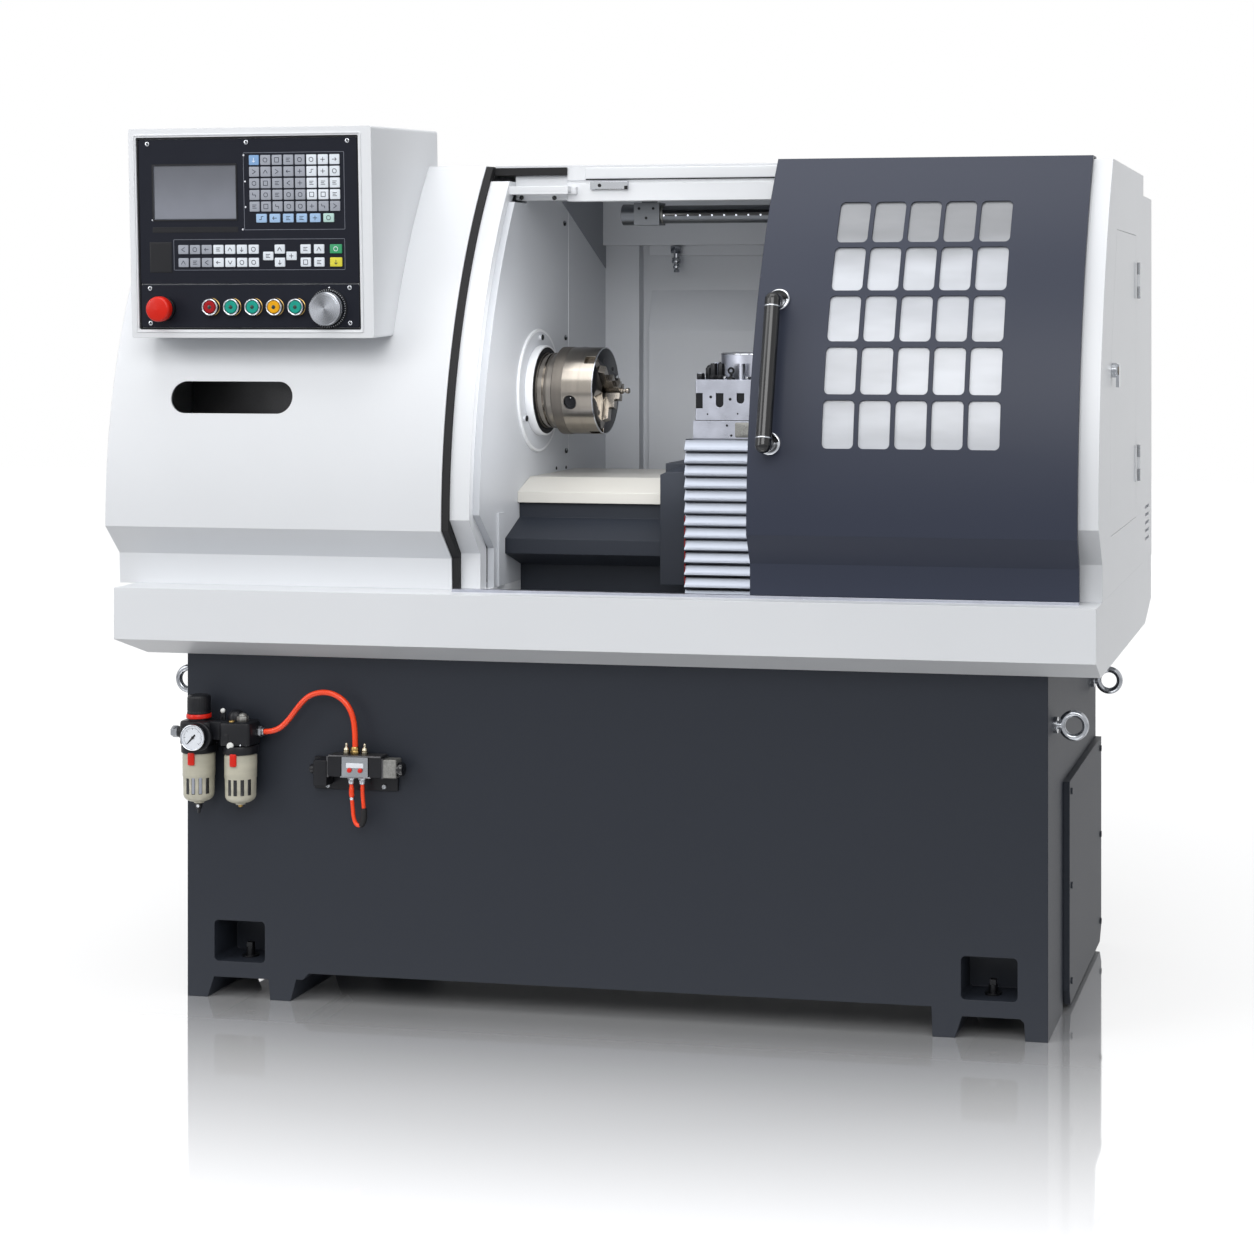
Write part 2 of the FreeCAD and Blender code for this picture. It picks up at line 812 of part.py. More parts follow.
pad(seal, "XZ", [rectangle("cover_right + seat_gap", "seal_leg_end", "seal_leg_low",
                           "cover_top - sheet_thick - seat_gap")], "header_face - 4", "header_face + 10")
piece("cover_seal", seal)

# door jamb between the seal and the chamber wall
jamb = body("LeftJamb")
jamb_back = "jamb_inset + jamb_deep"
pad(jamb, "YZ", [[
    ("jamb_fold", "tray_top"),
    ("jamb_fold", "fold_height + 9"),
    ("-bulge_depth + jamb_inset", "bulge_low + 20"),
    ("arc", "sweep_radius - jamb_inset"),
    (arc_y("jamb_inset", "jamb_top"), "jamb_top"),
    (arc_y(jamb_back, "jamb_top"), "jamb_top"),
    ("arc", f"-(sweep_radius - {jamb_back})"),
    (f"-bulge_depth + {jamb_back}", "bulge_low + 28"),
    ("jamb_fold + jamb_deep", "fold_height + 16"),
    ("jamb_fold + jamb_deep", "tray_top"),
]], "jamb_left", "jamb_right")
piece("left_jamb", jamb)

# ---------------------------------------------------------------- work chamber
wall = body("SpindleWall")
pad(wall, "YZ", [[
    ("jamb_fold + jamb_deep + 4", "tray_top"),
    ("jamb_fold + jamb_deep + 4", "fold_height + 16"),
    (f"-bulge_depth + {jamb_back} - 14", "bulge_low + 28"),
    ("arc", f"sweep_radius - {jamb_back} + 14"),
    (arc_y(f"{jamb_back} - 14", "header_low - 2"), "header_low - 2"),
    ("header_face + header_deep + 1", "header_low - 2"),
    ("header_face + header_deep + 1", "cover_top - sheet_thick"),
    ("rear_y", "cover_top - sheet_thick"),
    ("rear_y", "tray_top"),
], ("circle", "axis_y", "axis_z", "nose_radius + nose_gap")], "jamb_right", "wall_x")
piece("spindle_wall", wall)

# flange with a raised collar round the spindle hole
flange = body("SpindleFlange")
collar_bore = "nose_radius + nose_gap"
pad(flange, "YZ", [("circle", "0", "0", "flange_radius"), ("circle", "0", "0", collar_bore)],
    "wall_x", "wall_x + flange_thick")
pad(flange, "YZ", [("circle", "0", "0", "collar_radius"), ("circle", "0", "0", collar_bore)],
    "wall_x + flange_thick", "wall_x + flange_thick + collar_length")
head = pad(flange, "YZ", [("circle", "0", "(flange_radius + collar_radius) / 2", "5")],
           "wall_x + flange_thick - 1", "wall_x + flange_thick + 5")
round_copies(flange, head, "X", 3)
place(flange, "0", "axis_y", "axis_z")
piece("spindle_flange", flange)

# back of the chamber: a proud band on top, a post, a strip and a shelf that leans back
rear = body("RearWall")
wall_end = "tray_right - sheet_thick - seat_gap"
roof_low = "cover_top - sheet_thick"
pad(rear, "XZ", [rectangle("wall_x", wall_end, "tray_top", roof_low)], "rear_y", "rear_y + rear_thick")
pad(rear, "XZ", [rectangle("wall_x", wall_end, "band_low", roof_low)], "rear_y - band_proud", "rear_y")
pad(rear, "XZ", [rectangle("wall_x", "post_right", "tray_top", "band_low")],
    "rear_y - shelf_proud", "rear_y")
pad(rear, "XZ", [rectangle("post_right + post_gap", wall_end, "strip_low", "band_low")],
    "rear_y - strip_proud", "rear_y")
pad(rear, "YZ", [[
    ("rear_y", "tray_top"),
    ("rear_y", "shelf_high"),
    ("rear_y - shelf_proud", "shelf_low"),
    ("rear_y - shelf_proud", "tray_top"),
]], "post_right + post_gap", wall_end)
piece("rear_wall", rear)

# top sheet over the chamber and the beam that carries the door's guide
piece("roof", box("jamb_left", "header_end", "header_face", "rear_y + rear_thick", roof_low, "cover_top"))
header = body("HeaderRail")
pad(header, "YZ", [[
    ("header_face", "header_low"),
    ("header_face + header_deep", "header_low"),
    ("header_face + header_deep", roof_low),
    ("header_face", roof_low),
    ("header_face", "cover_top - 28"),
    ("header_face + 3", "cover_top - 30"),
    ("header_face + 3", "cover_top - 33"),
    ("header_face", "cover_top - 35"),
]], "header_start", "header_end")
pad(header, "XZ", [rectangle("jamb_right", "header_start", "jamb_top - 34", "seal_leg_low - 1")],
    "header_face + 8", "header_face + header_deep")
pad(header, "XZ", [rectangle("jamb_right", "header_start + 20", "jamb_top - 24", "jamb_top - 11")],
    "header_face - 10", "header_face + 9")
piece("header_rail", header)

# light tube under the roof, held by two blocks on a hanger
lamp_y, lamp_z = "300", "1441"
lamp = fuse(
    rod("X", "-58", lamp_y, lamp_z, "26", "20"),
    box("-32", "18", f"{lamp_y} - 20", f"{lamp_y} + 20", f"{lamp_z} - 20", f"{lamp_z} + 22"),
    rod("X", "18", lamp_y, lamp_z, "440", "17"),
    box("458", "500", f"{lamp_y} - 20", f"{lamp_y} + 20", f"{lamp_z} - 20", f"{lamp_z} + 22"),
    box("-20", "6", f"{lamp_y} - 8", f"{lamp_y} + 8", f"{lamp_z} + 20", roof_low),
    box("466", "492", f"{lamp_y} - 8", f"{lamp_y} + 8", f"{lamp_z} + 20", "cover_top - sheet_thick"),
)
piece("work_light", lamp)

# coolant tap under the band: union, ball and nozzle
tap_x, tap_y = "-71", "rear_y - band_proud + 14"
tap = fuse(
    rod("Z", tap_x, tap_y, "band_low - 12", "12", "8"),
    hexagon("Z", tap_x, tap_y, "band_low - 28", "16", "11"),
    rod("Z", tap_x, tap_y, "band_low - 34", "8", "7"),
    rod("Z", tap_x, tap_y, "band_low - 41", "8", "9"),
    cone("Z", tap_x, tap_y, "band_low - 56", "16", "4", "6"),
)
piece("coolant_tap", tap)

# ---------------------------------------------------------------- fixed cover on the right
right = body("RightCover")
skin = "sheet_thick"
panel_right = "tray_right - sheet_thick"
set_back = "jamb_inset + sheet_thick"
pad(right, "YZ", [[
    ("jamb_fold", "tray_top"),
    ("jamb_fold", "fold_height + 9"),
    ("-bulge_depth + jamb_inset", "bulge_low + 20"),
    ("arc", "sweep_radius - jamb_inset"),
    (arc_y("jamb_inset", "cover_top"), "cover_top"),
    ("rear_y + rear_thick", "cover_top"),
    ("rear_y + rear_thick", f"cover_top - {skin}"),
    (arc_y(set_back, f"cover_top - {skin}"), f"cover_top - {skin}"),
    ("arc", f"-(sweep_radius - jamb_inset - {skin})"),
    (f"-bulge_depth + {set_back}", "bulge_low + 22"),
    (f"jamb_fold + {skin}", "fold_height + 10.6"),
    (f"jamb_fold + {skin}", "tray_top"),
]], "panel_start", panel_right)
side_loop = front_loop("jamb_inset", "jamb_fold", "jamb_fold", "fold_height + 9", "cover_top",
                       "side_return", "tray_top")
side_loop[2] = ("-bulge_depth + jamb_inset", "bulge_low + 20")
pad(right, "YZ", [side_loop], panel_right, "tray_right")


def hatch_loop(grow):
    return [
        (f"hatch_front_low - ({grow})", f"hatch_low - ({grow})"),
        (f"hatch_rear + ({grow})", f"hatch_low - ({grow})"),
        (f"hatch_rear + ({grow})", f"hatch_high + ({grow})"),
        (f"hatch_front_high - ({grow})", f"hatch_high + ({grow})"),
        (f"hatch_front_mid - ({grow})", "hatch_mid"),
    ]


pocket(right, "YZ", [hatch_loop("hatch_gap")], f"{panel_right} - 1", "tray_right + 1")
piece("right_cover", right)

# service door in the right side, its hinges and latch
hatch = body("SideDoor")
pad(hatch, "YZ", [hatch_loop("0")], panel_right, "tray_right")
pad(hatch, "YZ", [rectangle("hatch_rear - 30", "hatch_rear - 1", f"{z} - hinge_length / 2",
                            f"{z} + hinge_length / 2") for z in ("hinge_low", "hinge_high")],
    "tray_right - 1", "tray_right + 3")
hinge_x = "tray_right + hinge_pin"
hinge_y = "hatch_rear + hatch_gap + hinge_pin + 1"
knuckle = "hinge_length / 6"
for z in ("hinge_low", "hinge_high"):
    pad(hatch, "YZ", [rectangle("hatch_rear - 6", hinge_y, f"{z} - {knuckle}", f"{z} + {knuckle}")],
        "tray_right + seat_gap", "tray_right + 3")
    pad(hatch, "XY", [("circle", hinge_x, hinge_y, "hinge_pin - seat_gap")],
        f"{z} - {knuckle}", f"{z} + {knuckle}")
piece("side_door", hatch)
leaves = []
for z in ("hinge_low", "hinge_high"):
    parts = [box("tray_right", "tray_right + 3", f"{hinge_y} + hinge_pin + 0.6", "side_return - 1",
                 f"{z} - hinge_length / 2", f"{z} + hinge_length / 2")]
    for low_z, high_z in ((f"{z} - hinge_length / 2", f"{z} - {knuckle} - seat_gap"),
                          (f"{z} + {knuckle} + seat_gap", f"{z} + hinge_length / 2")):
        parts.append(rod("Z", hinge_x, hinge_y, low_z, f"({high_z}) - ({low_z})", "hinge_pin"))
        leaf_rear = f"{hinge_y} + hinge_pin + 1"
        parts.append(box("tray_right", "tray_right + 3", hinge_y, leaf_rear, low_z, high_z))
    leaves.append(fuse(*parts))
piece("side_door_hinges", group(*leaves))
latch = fuse(
    rod("X", "tray_right + seat_gap", "latch_y", "latch_z", "9", "13"),
    box("tray_right + 8", "tray_right + 14", "latch_y - 6", "latch_y + 6", "latch_z - 30", "latch_z + 11"),
)
piece("side_door_latch", latch)

# electrical cabinet behind the chamber, with the side return that closes the right cover
cabinet = body("RearCabinet")
pad(cabinet, "XZ", [rectangle("cabinet_left", "tray_right", "tray_top", "cabinet_top")],
    "rear_y + rear_thick", "cabinet_rear")
pad(cabinet, "XZ", [rectangle("tray_right - sheet_thick", "tray_right", "tray_top", "cover_top")],
    "side_return", "rear_y + rear_thick + 1")
vents = [rectangle("rear_y + 40", "rear_y + 120", f"tray_top + 40 + {i} * 16", f"tray_top + 46 + {i} * 16")
         for i in range(5)]
pocket(cabinet, "YZ", vents, "tray_right - 6", "tray_right + 1")
doors = [rectangle("cabinet_left + 20", "cabinet_left + 740", "tray_top + 20", "cabinet_top - 20"),
         rectangle("cabinet_left + 744", "tray_right - 20", "tray_top + 20", "cabinet_top - 20")]
pad(cabinet, "XZ", doors, "cabinet_rear - 1", "cabinet_rear + 5")
piece("rear_cabinet", cabinet)

# ---------------------------------------------------------------- headstock and spindle
stock = body("Headstock")
pad(stock, "XZ", [[
    ("headstock_left", "tray_top"),
    ("headstock_right", "tray_top"),
    ("headstock_right", "axis_z + 115", "12"),
    ("headstock_left + 90", "axis_z + 115", "12"),
    ("headstock_left", "axis_z + 40", "12"),
]], "axis_y - 150", "axis_y + 150")
pocket(stock, "YZ", [("circle", "axis_y", "axis_z", "spindle_radius + spindle_fit")],
       "headstock_left - 1", "headstock_right + 1")
piece("headstock", stock)

spindle = body("SpindleShaft")
turned(spindle, "XZ", [[
    ("headstock_left - 30", "spindle_bore"),
    ("chuck_back", "spindle_bore"),
    ("chuck_back", "nose_radius"),
    ("chuck_back - 17", "nose_radius"),
    ("chuck_back - 17", "nose_radius - 4"),
    ("chuck_back - 22", "nose_radius - 4"),
    ("chuck_back - 22", "nose_radius"),
    ("headstock_right + seat_gap", "nose_radius"),
    ("headstock_right + seat_gap", "spindle_radius"),
    ("headstock_left - 30", "spindle_radius"),
]], "X")
place(spindle, "0", "axis_y", "axis_z")
piece("spindle_shaft", spindle)

# chuck: turned body, three slots for the jaws and three key holes in the rim
chuck = body("ChuckBody")
turned(chuck, "XZ", [[
    ("chuck_back", "chuck_bore"),
    ("chuck_face", "chuck_bore"),
    ("chuck_face", "chuck_radius - 1.5"),
    ("chuck_face - 1.5", "chuck_radius"),
    ("chuck_back + 17.5", "chuck_radius"),
    ("chuck_back + 17.5", "chuck_radius - 1.5"),
    ("chuck_back + 16", "chuck_radius - 1.5"),
    ("chuck_back + 16", "chuck_radius - 3"),
    ("chuck_back + 1", "chuck_radius - 3"),
    ("chuck_back", "chuck_radius - 4"),
]], "X")
jaw_slot = pocket(chuck, "YZ", [rectangle("-jaw_width / 2 - seat_gap", "jaw_width / 2 + seat_gap",
                                          "chuck_bore - 6", "chuck_radius + 1")],
                  "chuck_face - jaw_slot_deep", "chuck_face + 1")
round_copies(chuck, jaw_slot, "X", 3)
key_hole = pocket(chuck, "XY", [("circle", "chuck_face - 44", "0", "12")],
                  "-chuck_radius - 1", "-chuck_bore - 22")
round_copies(chuck, key_hole, "X", 3)
chuck.Placement = Placement(Vector(), Rotation(Vector(1, 0, 0), 90 - num("jaw_turn")))
bind(chuck, Placement__Rotation__Angle="90 - jaw_turn")
place(chuck, "0", "axis_y", "axis_z")
piece("chuck_body", chuck)

# stepped jaws, each drawn standing straight up and then turned about the spindle axis
for number in range(3):
    jaw = body("Jaw%d" % (number + 1))
    base_x = "chuck_face - jaw_slot_deep + seat_gap"
    pad(jaw, "XZ", [[
        (base_x, "jaw_inner"),
        ("chuck_face + jaw_step * 2.6", "jaw_inner"),
        ("chuck_face + jaw_step * 2.6", "jaw_inner + 12"),
        ("chuck_face + jaw_step * 1.8", "jaw_inner + 12"),
        ("chuck_face + jaw_step * 1.8", "jaw_inner + 28"),
        ("chuck_face + jaw_step", "jaw_inner + 28"),
        ("chuck_face + jaw_step", "jaw_outer - 18"),
        ("chuck_face + 1", "jaw_outer - 14"),
        ("chuck_face - 1", "jaw_outer"),
        (base_x, "jaw_outer"),
    ]], "-jaw_width / 2", "jaw_width / 2")
    jaw.Placement = Placement(Vector(), Rotation(Vector(1, 0, 0), 90 - num("jaw_turn") - 120 * number))
    bind(jaw, Placement__Rotation__Angle="90 - jaw_turn - %d" % (120 * number))
    place(jaw, "0", "axis_y", "axis_z")
    piece("jaw_%d" % (number + 1), jaw)

# turned pin gripped by the jaws
pin = body("TurnedPin")
turned(pin, "XZ", [[
    ("chuck_face - 34", "0"),
    ("pin_end", "0"),
    ("pin_end", "pin_radius - 2"),
    ("pin_end - 2", "pin_radius - 0.5"),
    ("pin_end - 6", "pin_radius - 0.5"),
    ("pin_end - 8", "pin_radius - 2.5"),
    ("pin_end - 12", "pin_radius - 2.5"),
    ("pin_end - 13", "pin_radius"),
    ("chuck_face - 34", "pin_radius"),
]], "X")
place(pin, "0", "axis_y", "axis_z")
piece("turned_pin", pin)

# ---------------------------------------------------------------- bed
bed_left = "wall_x + seat_gap"
bed = body("Bed")
pad(bed, "YZ", [[
    ("way_front + 16", "base_top + tray_floor"),
    ("way_rear - 10", "base_top + tray_floor"),
    ("way_rear - 10", "way_low"),
    ("way_front + 10", "way_low"),
    ("way_front + 10", "way_low - 28"),
    ("way_front - 66", "way_low - 61"),
    ("way_front - 66", "way_low - 89"),
    ("way_front + 16", "way_low - 116"),
]], bed_left, "bed_right")
piece("bed", bed)
ways = body("WayCover")
pad(ways, "YZ", [[
    ("way_front", "way_low"),
    ("way_rear", "way_low"),
    ("way_rear", "way_shoulder"),
    ("way_flat_rear", "way_top"),
    ("way_flat_front", "way_top"),
    ("way_front", "way_shoulder"),
]], bed_left, "bed_right")
piece("bed_way_cover", ways)
# angle strip that closes the chamber wall in front of the bed
piece("wall_strip", box("wall_x", "wall_x + 4", "72", "101", "tray_top", "889"))

# ---------------------------------------------------------------- carriage
saddle = body("Carriage")
saddle_right = "saddle_left + saddle_width"
top_low = "way_top + seat_gap"
pad(saddle, "YZ", [[
    ("saddle_front", "saddle_low"),
    ("saddle_front + saddle_wall", "saddle_low"),
    ("saddle_front + saddle_wall", f"{top_low}"),
    ("saddle_rear - saddle_wall", f"{top_low}"),
    ("saddle_rear - saddle_wall", "way_low + 4"),
    ("saddle_rear", "way_low + 4"),
    ("saddle_rear", "saddle_top"),
    ("saddle_front + 30", "saddle_top"),
    ("saddle_front", "saddle_top - 14"),
]], "saddle_left", saddle_right)
pocket(saddle, "XZ", [[
    ("saddle_left - 1", "saddle_top + 1"),
    ("saddle_left - 1", "saddle_top - 19"),
    ("saddle_left + 45", "saddle_top + 1"),
]], "saddle_front - 1", "saddle_front + saddle_wall + 20")
piece("carriage", saddle)

# slat apron: overlapping roll-formed strips hung from a top rail, over a backing curtain
apron = body("SlatApron")
apron_back = "apron_front + apron_deep"
apron_low = "apron_top - slat_pitch * slat_count"
pad(apron, "YZ", [rectangle("apron_front + 12", apron_back, apron_low, "apron_top")],
    "apron_left", "apron_left + apron_width")
slat = pad(apron, "YZ", [[
    ("apron_front + 13", "apron_top - slat_pitch + 1"),
    ("apron_front + 1", "apron_top - slat_pitch + 1"),
    ("apron_front", "apron_top - slat_pitch + 3.5"),
    ("apron_front + 2.5", "apron_top - slat_pitch + 6"),
    ("apron_front + 7.5", "apron_top - 6"),
    ("apron_front + 9", "apron_top - 2"),
    ("apron_front + 13", "apron_top"),
]], "apron_left - 2", "apron_left + apron_width + 2")
row = row_copies(apron, slat, "Z", "slat_pitch", "slat_count")
row.Reversed = True
doc.recompute()
piece("slat_apron", apron)

# cross slide and the fixed foot of the tool turret
slide = body("CrossSlide")
pad(slide, "YZ", [[
    ("slide_front", "saddle_top + seat_gap"),
    ("slide_front + slide_length", "saddle_top + seat_gap"),
    ("slide_front + slide_length", "slide_top"),
    ("slide_front", "slide_top"),
]], "slide_left", "slide_left + slide_width")
# the turret's foot, its centre post and the motor cap on top of it stay with the slide
foot = box("turret_x - turret_half - 3", "turret_x + turret_half + 3", "turret_y - turret_half - 3",
           "turret_y + turret_half + 3", "slide_top", "turret_base_top")
post = rod("Z", "turret_x", "turret_y", "turret_base_top", "turret_top - turret_base_top + 2", "post_radius")
cap = rod("Z", "turret_x", "turret_y", "turret_top + seat_gap", "cap_height - 2", "cap_radius")
crown = cone("Z", "turret_x", "turret_y", "turret_top + seat_gap + cap_height - 2", "2", "cap_radius",
             "cap_radius - 2")
piece("cross_slide", fuse(slide, foot, post, cap, crown))

# four-station turret: a square block under a clamp plate, with upright notches for the clamp bolts
turret = body("TurretHead")
low = "turret_base_top + seat_gap"
reach = "turret_half"
plate_low = "turret_top - turret_plate"
pad(turret, "XY", [rounded(f"-{reach}", reach, f"-{reach}", reach, "3")], low, "turret_top")
slot_half = "notch_width / 2"
bolt_y = f"-{reach} + notch_deep / 2"
# the corner notch is square, the others end in a half round
corner = rectangle(f"-{reach} - 2", f"-{reach} + notch_width", f"{plate_low} - notch_high", plate_low)
notch = pocket(turret, "XZ", [corner], f"-{reach} - 1", f"-{reach} + notch_deep")
round_copies(turret, notch, "Z", 4)
bolt_spots = [(f"-{reach} + notch_width / 2 + 0.5", 12)]
for number, (drop, rise) in enumerate(((2, 24), (9, 29), (16, 20)), 1):
    spot = f"-{reach} + notch_width / 2 + notch_pitch * {number}"
    end = f"{plate_low} - notch_high + notch_width / 2 + {drop}"
    notch = pocket(turret, "XZ", [[
        (f"{spot} - {slot_half}", end),
        ("arc", f"-({slot_half}) * 1.0000001"),
        (f"{spot} + {slot_half}", end),
        (f"{spot} + {slot_half}", plate_low),
        (f"{spot} - {slot_half}", plate_low),
    ]], f"-{reach} - 1", f"-{reach} + notch_deep")
    round_copies(turret, notch, "Z", 4)
    bolt_spots.append((spot, rise))
for spot, rise in bolt_spots:
    shank = pad(turret, "XY", [("circle", spot, bolt_y, "bolt_radius")], f"{plate_low} - 13",
                f"{plate_low} + 1")
    round_copies(turret, shank, "Z", 4)
    head = pad(turret, "XY", [("circle", spot, bolt_y, "bolt_radius + 0.5")], "turret_top - 1",
               f"turret_top + {rise}")
    round_copies(turret, head, "Z", 4)
pocket(turret, "XY", [("circle", "0", "0", "post_radius + spindle_fit")], "turret_base_top", "turret_top + 1")
place(turret, "turret_x", "turret_y", "0")
piece("turret_head", turret)

# ---------------------------------------------------------------- tailstock
tail = body("Tailstock")
tail_right = "tail_left + tail_length"
pad(tail, "YZ", [[
    ("axis_y - tail_width / 2", f"{top_low}"),
    ("axis_y + tail_width / 2", f"{top_low}"),
    ("axis_y + tail_width / 2", "saddle_top"),
    ("axis_y + barrel_radius", "axis_z"),
    ("arc", "-barrel_radius * 1.0000001"),
    ("axis_y - barrel_radius", "axis_z"),
    ("axis_y - tail_width / 2", "saddle_top"),
]], "tail_left", tail_right)
pocket(tail, "YZ", [("circle", "axis_y", "axis_z", "quill_radius + spindle_fit")],
       "tail_left - 1", f"{tail_right} + 1")
piece("tailstock_body", tail)
quill = body("TailstockQuill")
turned(quill, "XZ", [[
    ("tail_left - quill_out - 34", "0"),
    ("tail_left - quill_out - 34", "0.5"),
    ("tail_left - quill_out", "16"),
    ("tail_left - quill_out", "quill_radius - 1"),
    ("tail_left - quill_out + 1", "quill_radius"),
    (f"{tail_right} - 4", "quill_radius"),
    (f"{tail_right} - 4", "0"),
]], "X")
place(quill, "0", "axis_y", "axis_z")
piece("tailstock_quill", quill)
crank = body("TailstockWheel")
wheel_x = f"{tail_right} + seat_gap"
turned(crank, "XZ", [[
    (wheel_x, "0"),
    (wheel_x, "32"),
    (f"{wheel_x} + 14", "32"),
    (f"{wheel_x} + 14", "58"),
    (f"{wheel_x} + 10", "58"),
    (f"{wheel_x} + 10", "70"),
    (f"{wheel_x} + 26", "70"),
    (f"{wheel_x} + 26", "58"),
    (f"{wheel_x} + 22", "58"),
    (f"{wheel_x} + 22", "16"),
    (f"{wheel_x} + 30", "16"),
    (f"{wheel_x} + 30", "0"),
]], "X")
pad(crank, "YZ", [("circle", "0", "62", "7")], f"{wheel_x} + 25", f"{wheel_x} + 62")
place(crank, "0", "axis_y", "axis_z")
piece("tailstock_wheel", crank)

# ---------------------------------------------------------------- sliding door
door = body("DoorPanel")
out = "-(door_deep + door_gap - jamb_inset)"
inside = f"{out} + door_skin"
behind = f"{out} + door_deep"
door_right = "door_left + door_width"
top_y = arc_y(out, "door_top")


def door_band(front, back):
    # a band that follows the door front, between two set-backs
    shift = f"({back}) - ({front})"
    return [
        (f"door_fold + ({front}) - ({out})", "door_low"),
        (f"door_fold + ({front}) - ({out})", "door_fold_height"),
        (f"-bulge_depth + ({front})", "bulge_low + 4"),
        ("arc", f"sweep_radius - ({front})"),
        (arc_y(front, "door_top"), "door_top"),
        (arc_y(back, "door_top"), "door_top"),
        ("arc", f"-(sweep_radius - ({back}))"),
        (f"-bulge_depth + ({back})", f"bulge_low + 4 + ({shift}) * 0.25"),
        (f"door_fold + ({back}) - ({out})", f"door_fold_height + ({shift}) * 0.25"),
        (f"door_fold + ({back}) - ({out})", "door_low"),
    ]


pad(door, "YZ", [door_band(out, inside)], "door_left", door_right)
for low_x, high_x in (("door_left", "door_left + door_skin"), (f"{door_right} - door_skin", door_right)):
    pad(door, "YZ", [door_band(out, behind)], low_x, high_x)
pad(door, "YZ", [rectangle(top_y, f"{top_y} + door_return", "cover_top + door_gap", "door_top")],
    "door_left", door_right)
pad(door, "YZ", [rectangle("door_fold", "door_fold + door_deep", "door_low", "door_low + 3")],
    "door_left", door_right)
# rows of openings, equally spaced along the arc, each row repeated across the door
door_radius = f"(sweep_radius - ({out}))"


def pane_z(row, end):
    # height of the low (-1) or high (1) edge of a row of openings
    way = f"pane_first + pane_rise * {row} + {end} * pane_height / 2"
    return f"sweep_height + {door_radius} * sin(({way}) / {door_radius} * 57.29578)"


rows = int(num("pane_rows"))
for number in range(rows):
    opening = pocket(door, "XZ", [rounded("pane_left", "pane_left + pane_width", pane_z(number, -1),
                                          pane_z(number, 1), "pane_corner")], "-bulge_depth - 20", "200")
    row_copies(door, opening, "X", "pane_pitch", "pane_columns")
piece("door_panel", door)

# clear sheet behind the openings
pane = body("DoorWindow")
pane_low = pane_z(0, -1) + " - window_margin"
pane_high = pane_z(rows - 1, 1) + " + window_margin"
near = f"{inside} + seat_gap"
far = f"{near} + window_thick"
pad(pane, "YZ", [[
    (arc_y(near, pane_low), pane_low),
    ("arc", f"sweep_radius - ({near})"),
    (arc_y(near, pane_high), pane_high),
    (arc_y(far, pane_high), pane_high),
    ("arc", f"-(sweep_radius - ({far}))"),
    (arc_y(far, pane_low), pane_low),
]], "pane_left - window_margin", "pane_left + pane_pitch * (pane_columns - 1) + pane_width + window_margin")
piece("door_window", pane)

# lower track under the door
piece("door_track", box("jamb_left", f"{door_right}", "door_fold - 2", "door_fold + door_deep + 2",
                        "tray_top", "door_low - seat_gap"))

# door handle: a round bar that turns through two elbows onto the door
low_y, high_y = arc_y(out, "handle_low"), arc_y(out, "handle_high")
handle_rise = "handle_high - handle_low"
bar = doc.addObject("Part::Cylinder", "Grip")
lean = math.degrees(math.atan2(num(high_y) - num(low_y), num(handle_rise)))
bar_length = f"sqrt(({handle_rise})^2 + (({high_y}) - ({low_y}))^2)"
bind(bar, Radius="handle_radius", Height=bar_length)
bar.Placement = Placement(Vector(), Rotation(Vector(1, 0, 0), -lean))
bind(bar, Placement__Rotation__Angle=f"-atan2(({high_y}) - ({low_y}); {handle_rise})")
reach_y = "(handle_reach - handle_radius)"
place(bar, "handle_x", f"({low_y}) - {reach_y}", "handle_low")
posts = []
for y, z in ((low_y, "handle_low"), (high_y, "handle_high")):
    elbow = doc.addObject("Part::Sphere", "Elbow")
    bind(elbow, Radius="handle_radius")
    place(elbow, "handle_x", f"({y}) - {reach_y}", z)
    posts.append(elbow)
    posts.append(rod("Y", "handle_x", f"({y}) - {reach_y}", z, f"{reach_y} + 8", "handle_radius - 1"))
    posts.append(rod("Y", "handle_x", f"({y}) - 6", z, "14", "handle_radius + 4"))
front = f"{out} - seat_gap"
door_form = body("HandleTrim")
pad(door_form, "YZ", [[
    (arc_y(front, "handle_low - 60"), "handle_low - 60"),
    ("arc", f"sweep_radius - ({front})"),
    (arc_y(front, "handle_high + 60"), "handle_high + 60"),
    ("200", "handle_high + 60"),
    ("200", "handle_low - 60"),
]], "handle_x - 40", "handle_x + 40")
piece("door_handle", cut(fuse(bar, *posts), door_form))

# ---------------------------------------------------------------- control box
case = body("ControlBox")
pad(case, "XZ", [rounded("0", "box_width", "0", "box_height", "5")], "0", "box_deep")
margin = "4"
pocket(case, "XZ", [rounded(f"panel_inset - {margin}", f"panel_inset + panel_width + {margin}",
                            f"panel_low - {margin}", f"keyboard_low + keyboard_height + {margin}", "3")],
       "0", "panel_recess + panel_thick")
button_x = [f"button_first + button_pitch * {i}" for i in range(5)]
holes = [("circle", x, "button_z", "button_radius + seat_gap") for x in button_x]
holes.append(("circle", "stop_x", "stop_z", "9 + seat_gap"))
holes.append(("circle", "dial_x", "stop_z", "9 + seat_gap"))
pocket(case, "XZ", holes, "panel_recess + panel_thick", "panel_recess + panel_thick + 24")
case.Placement = Placement(Vector(), Rotation(Vector(1, 0, 0), num("box_pitch")))
bind(case, Placement__Rotation__Angle="box_pitch")
place(case, "box_left", "box_front", "box_low")
shadow = body("CoverForm")
pad(shadow, "YZ", [front_loop("-seat_gap", "fold_depth - seat_gap", "foot_lip - seat_gap", "fold_height",
                              "cover_top + seat_gap", "cover_rear", "tray_top")],
    "-cover_left - 1", "cover_right + 1")
piece("control_box", cut(case, shadow))

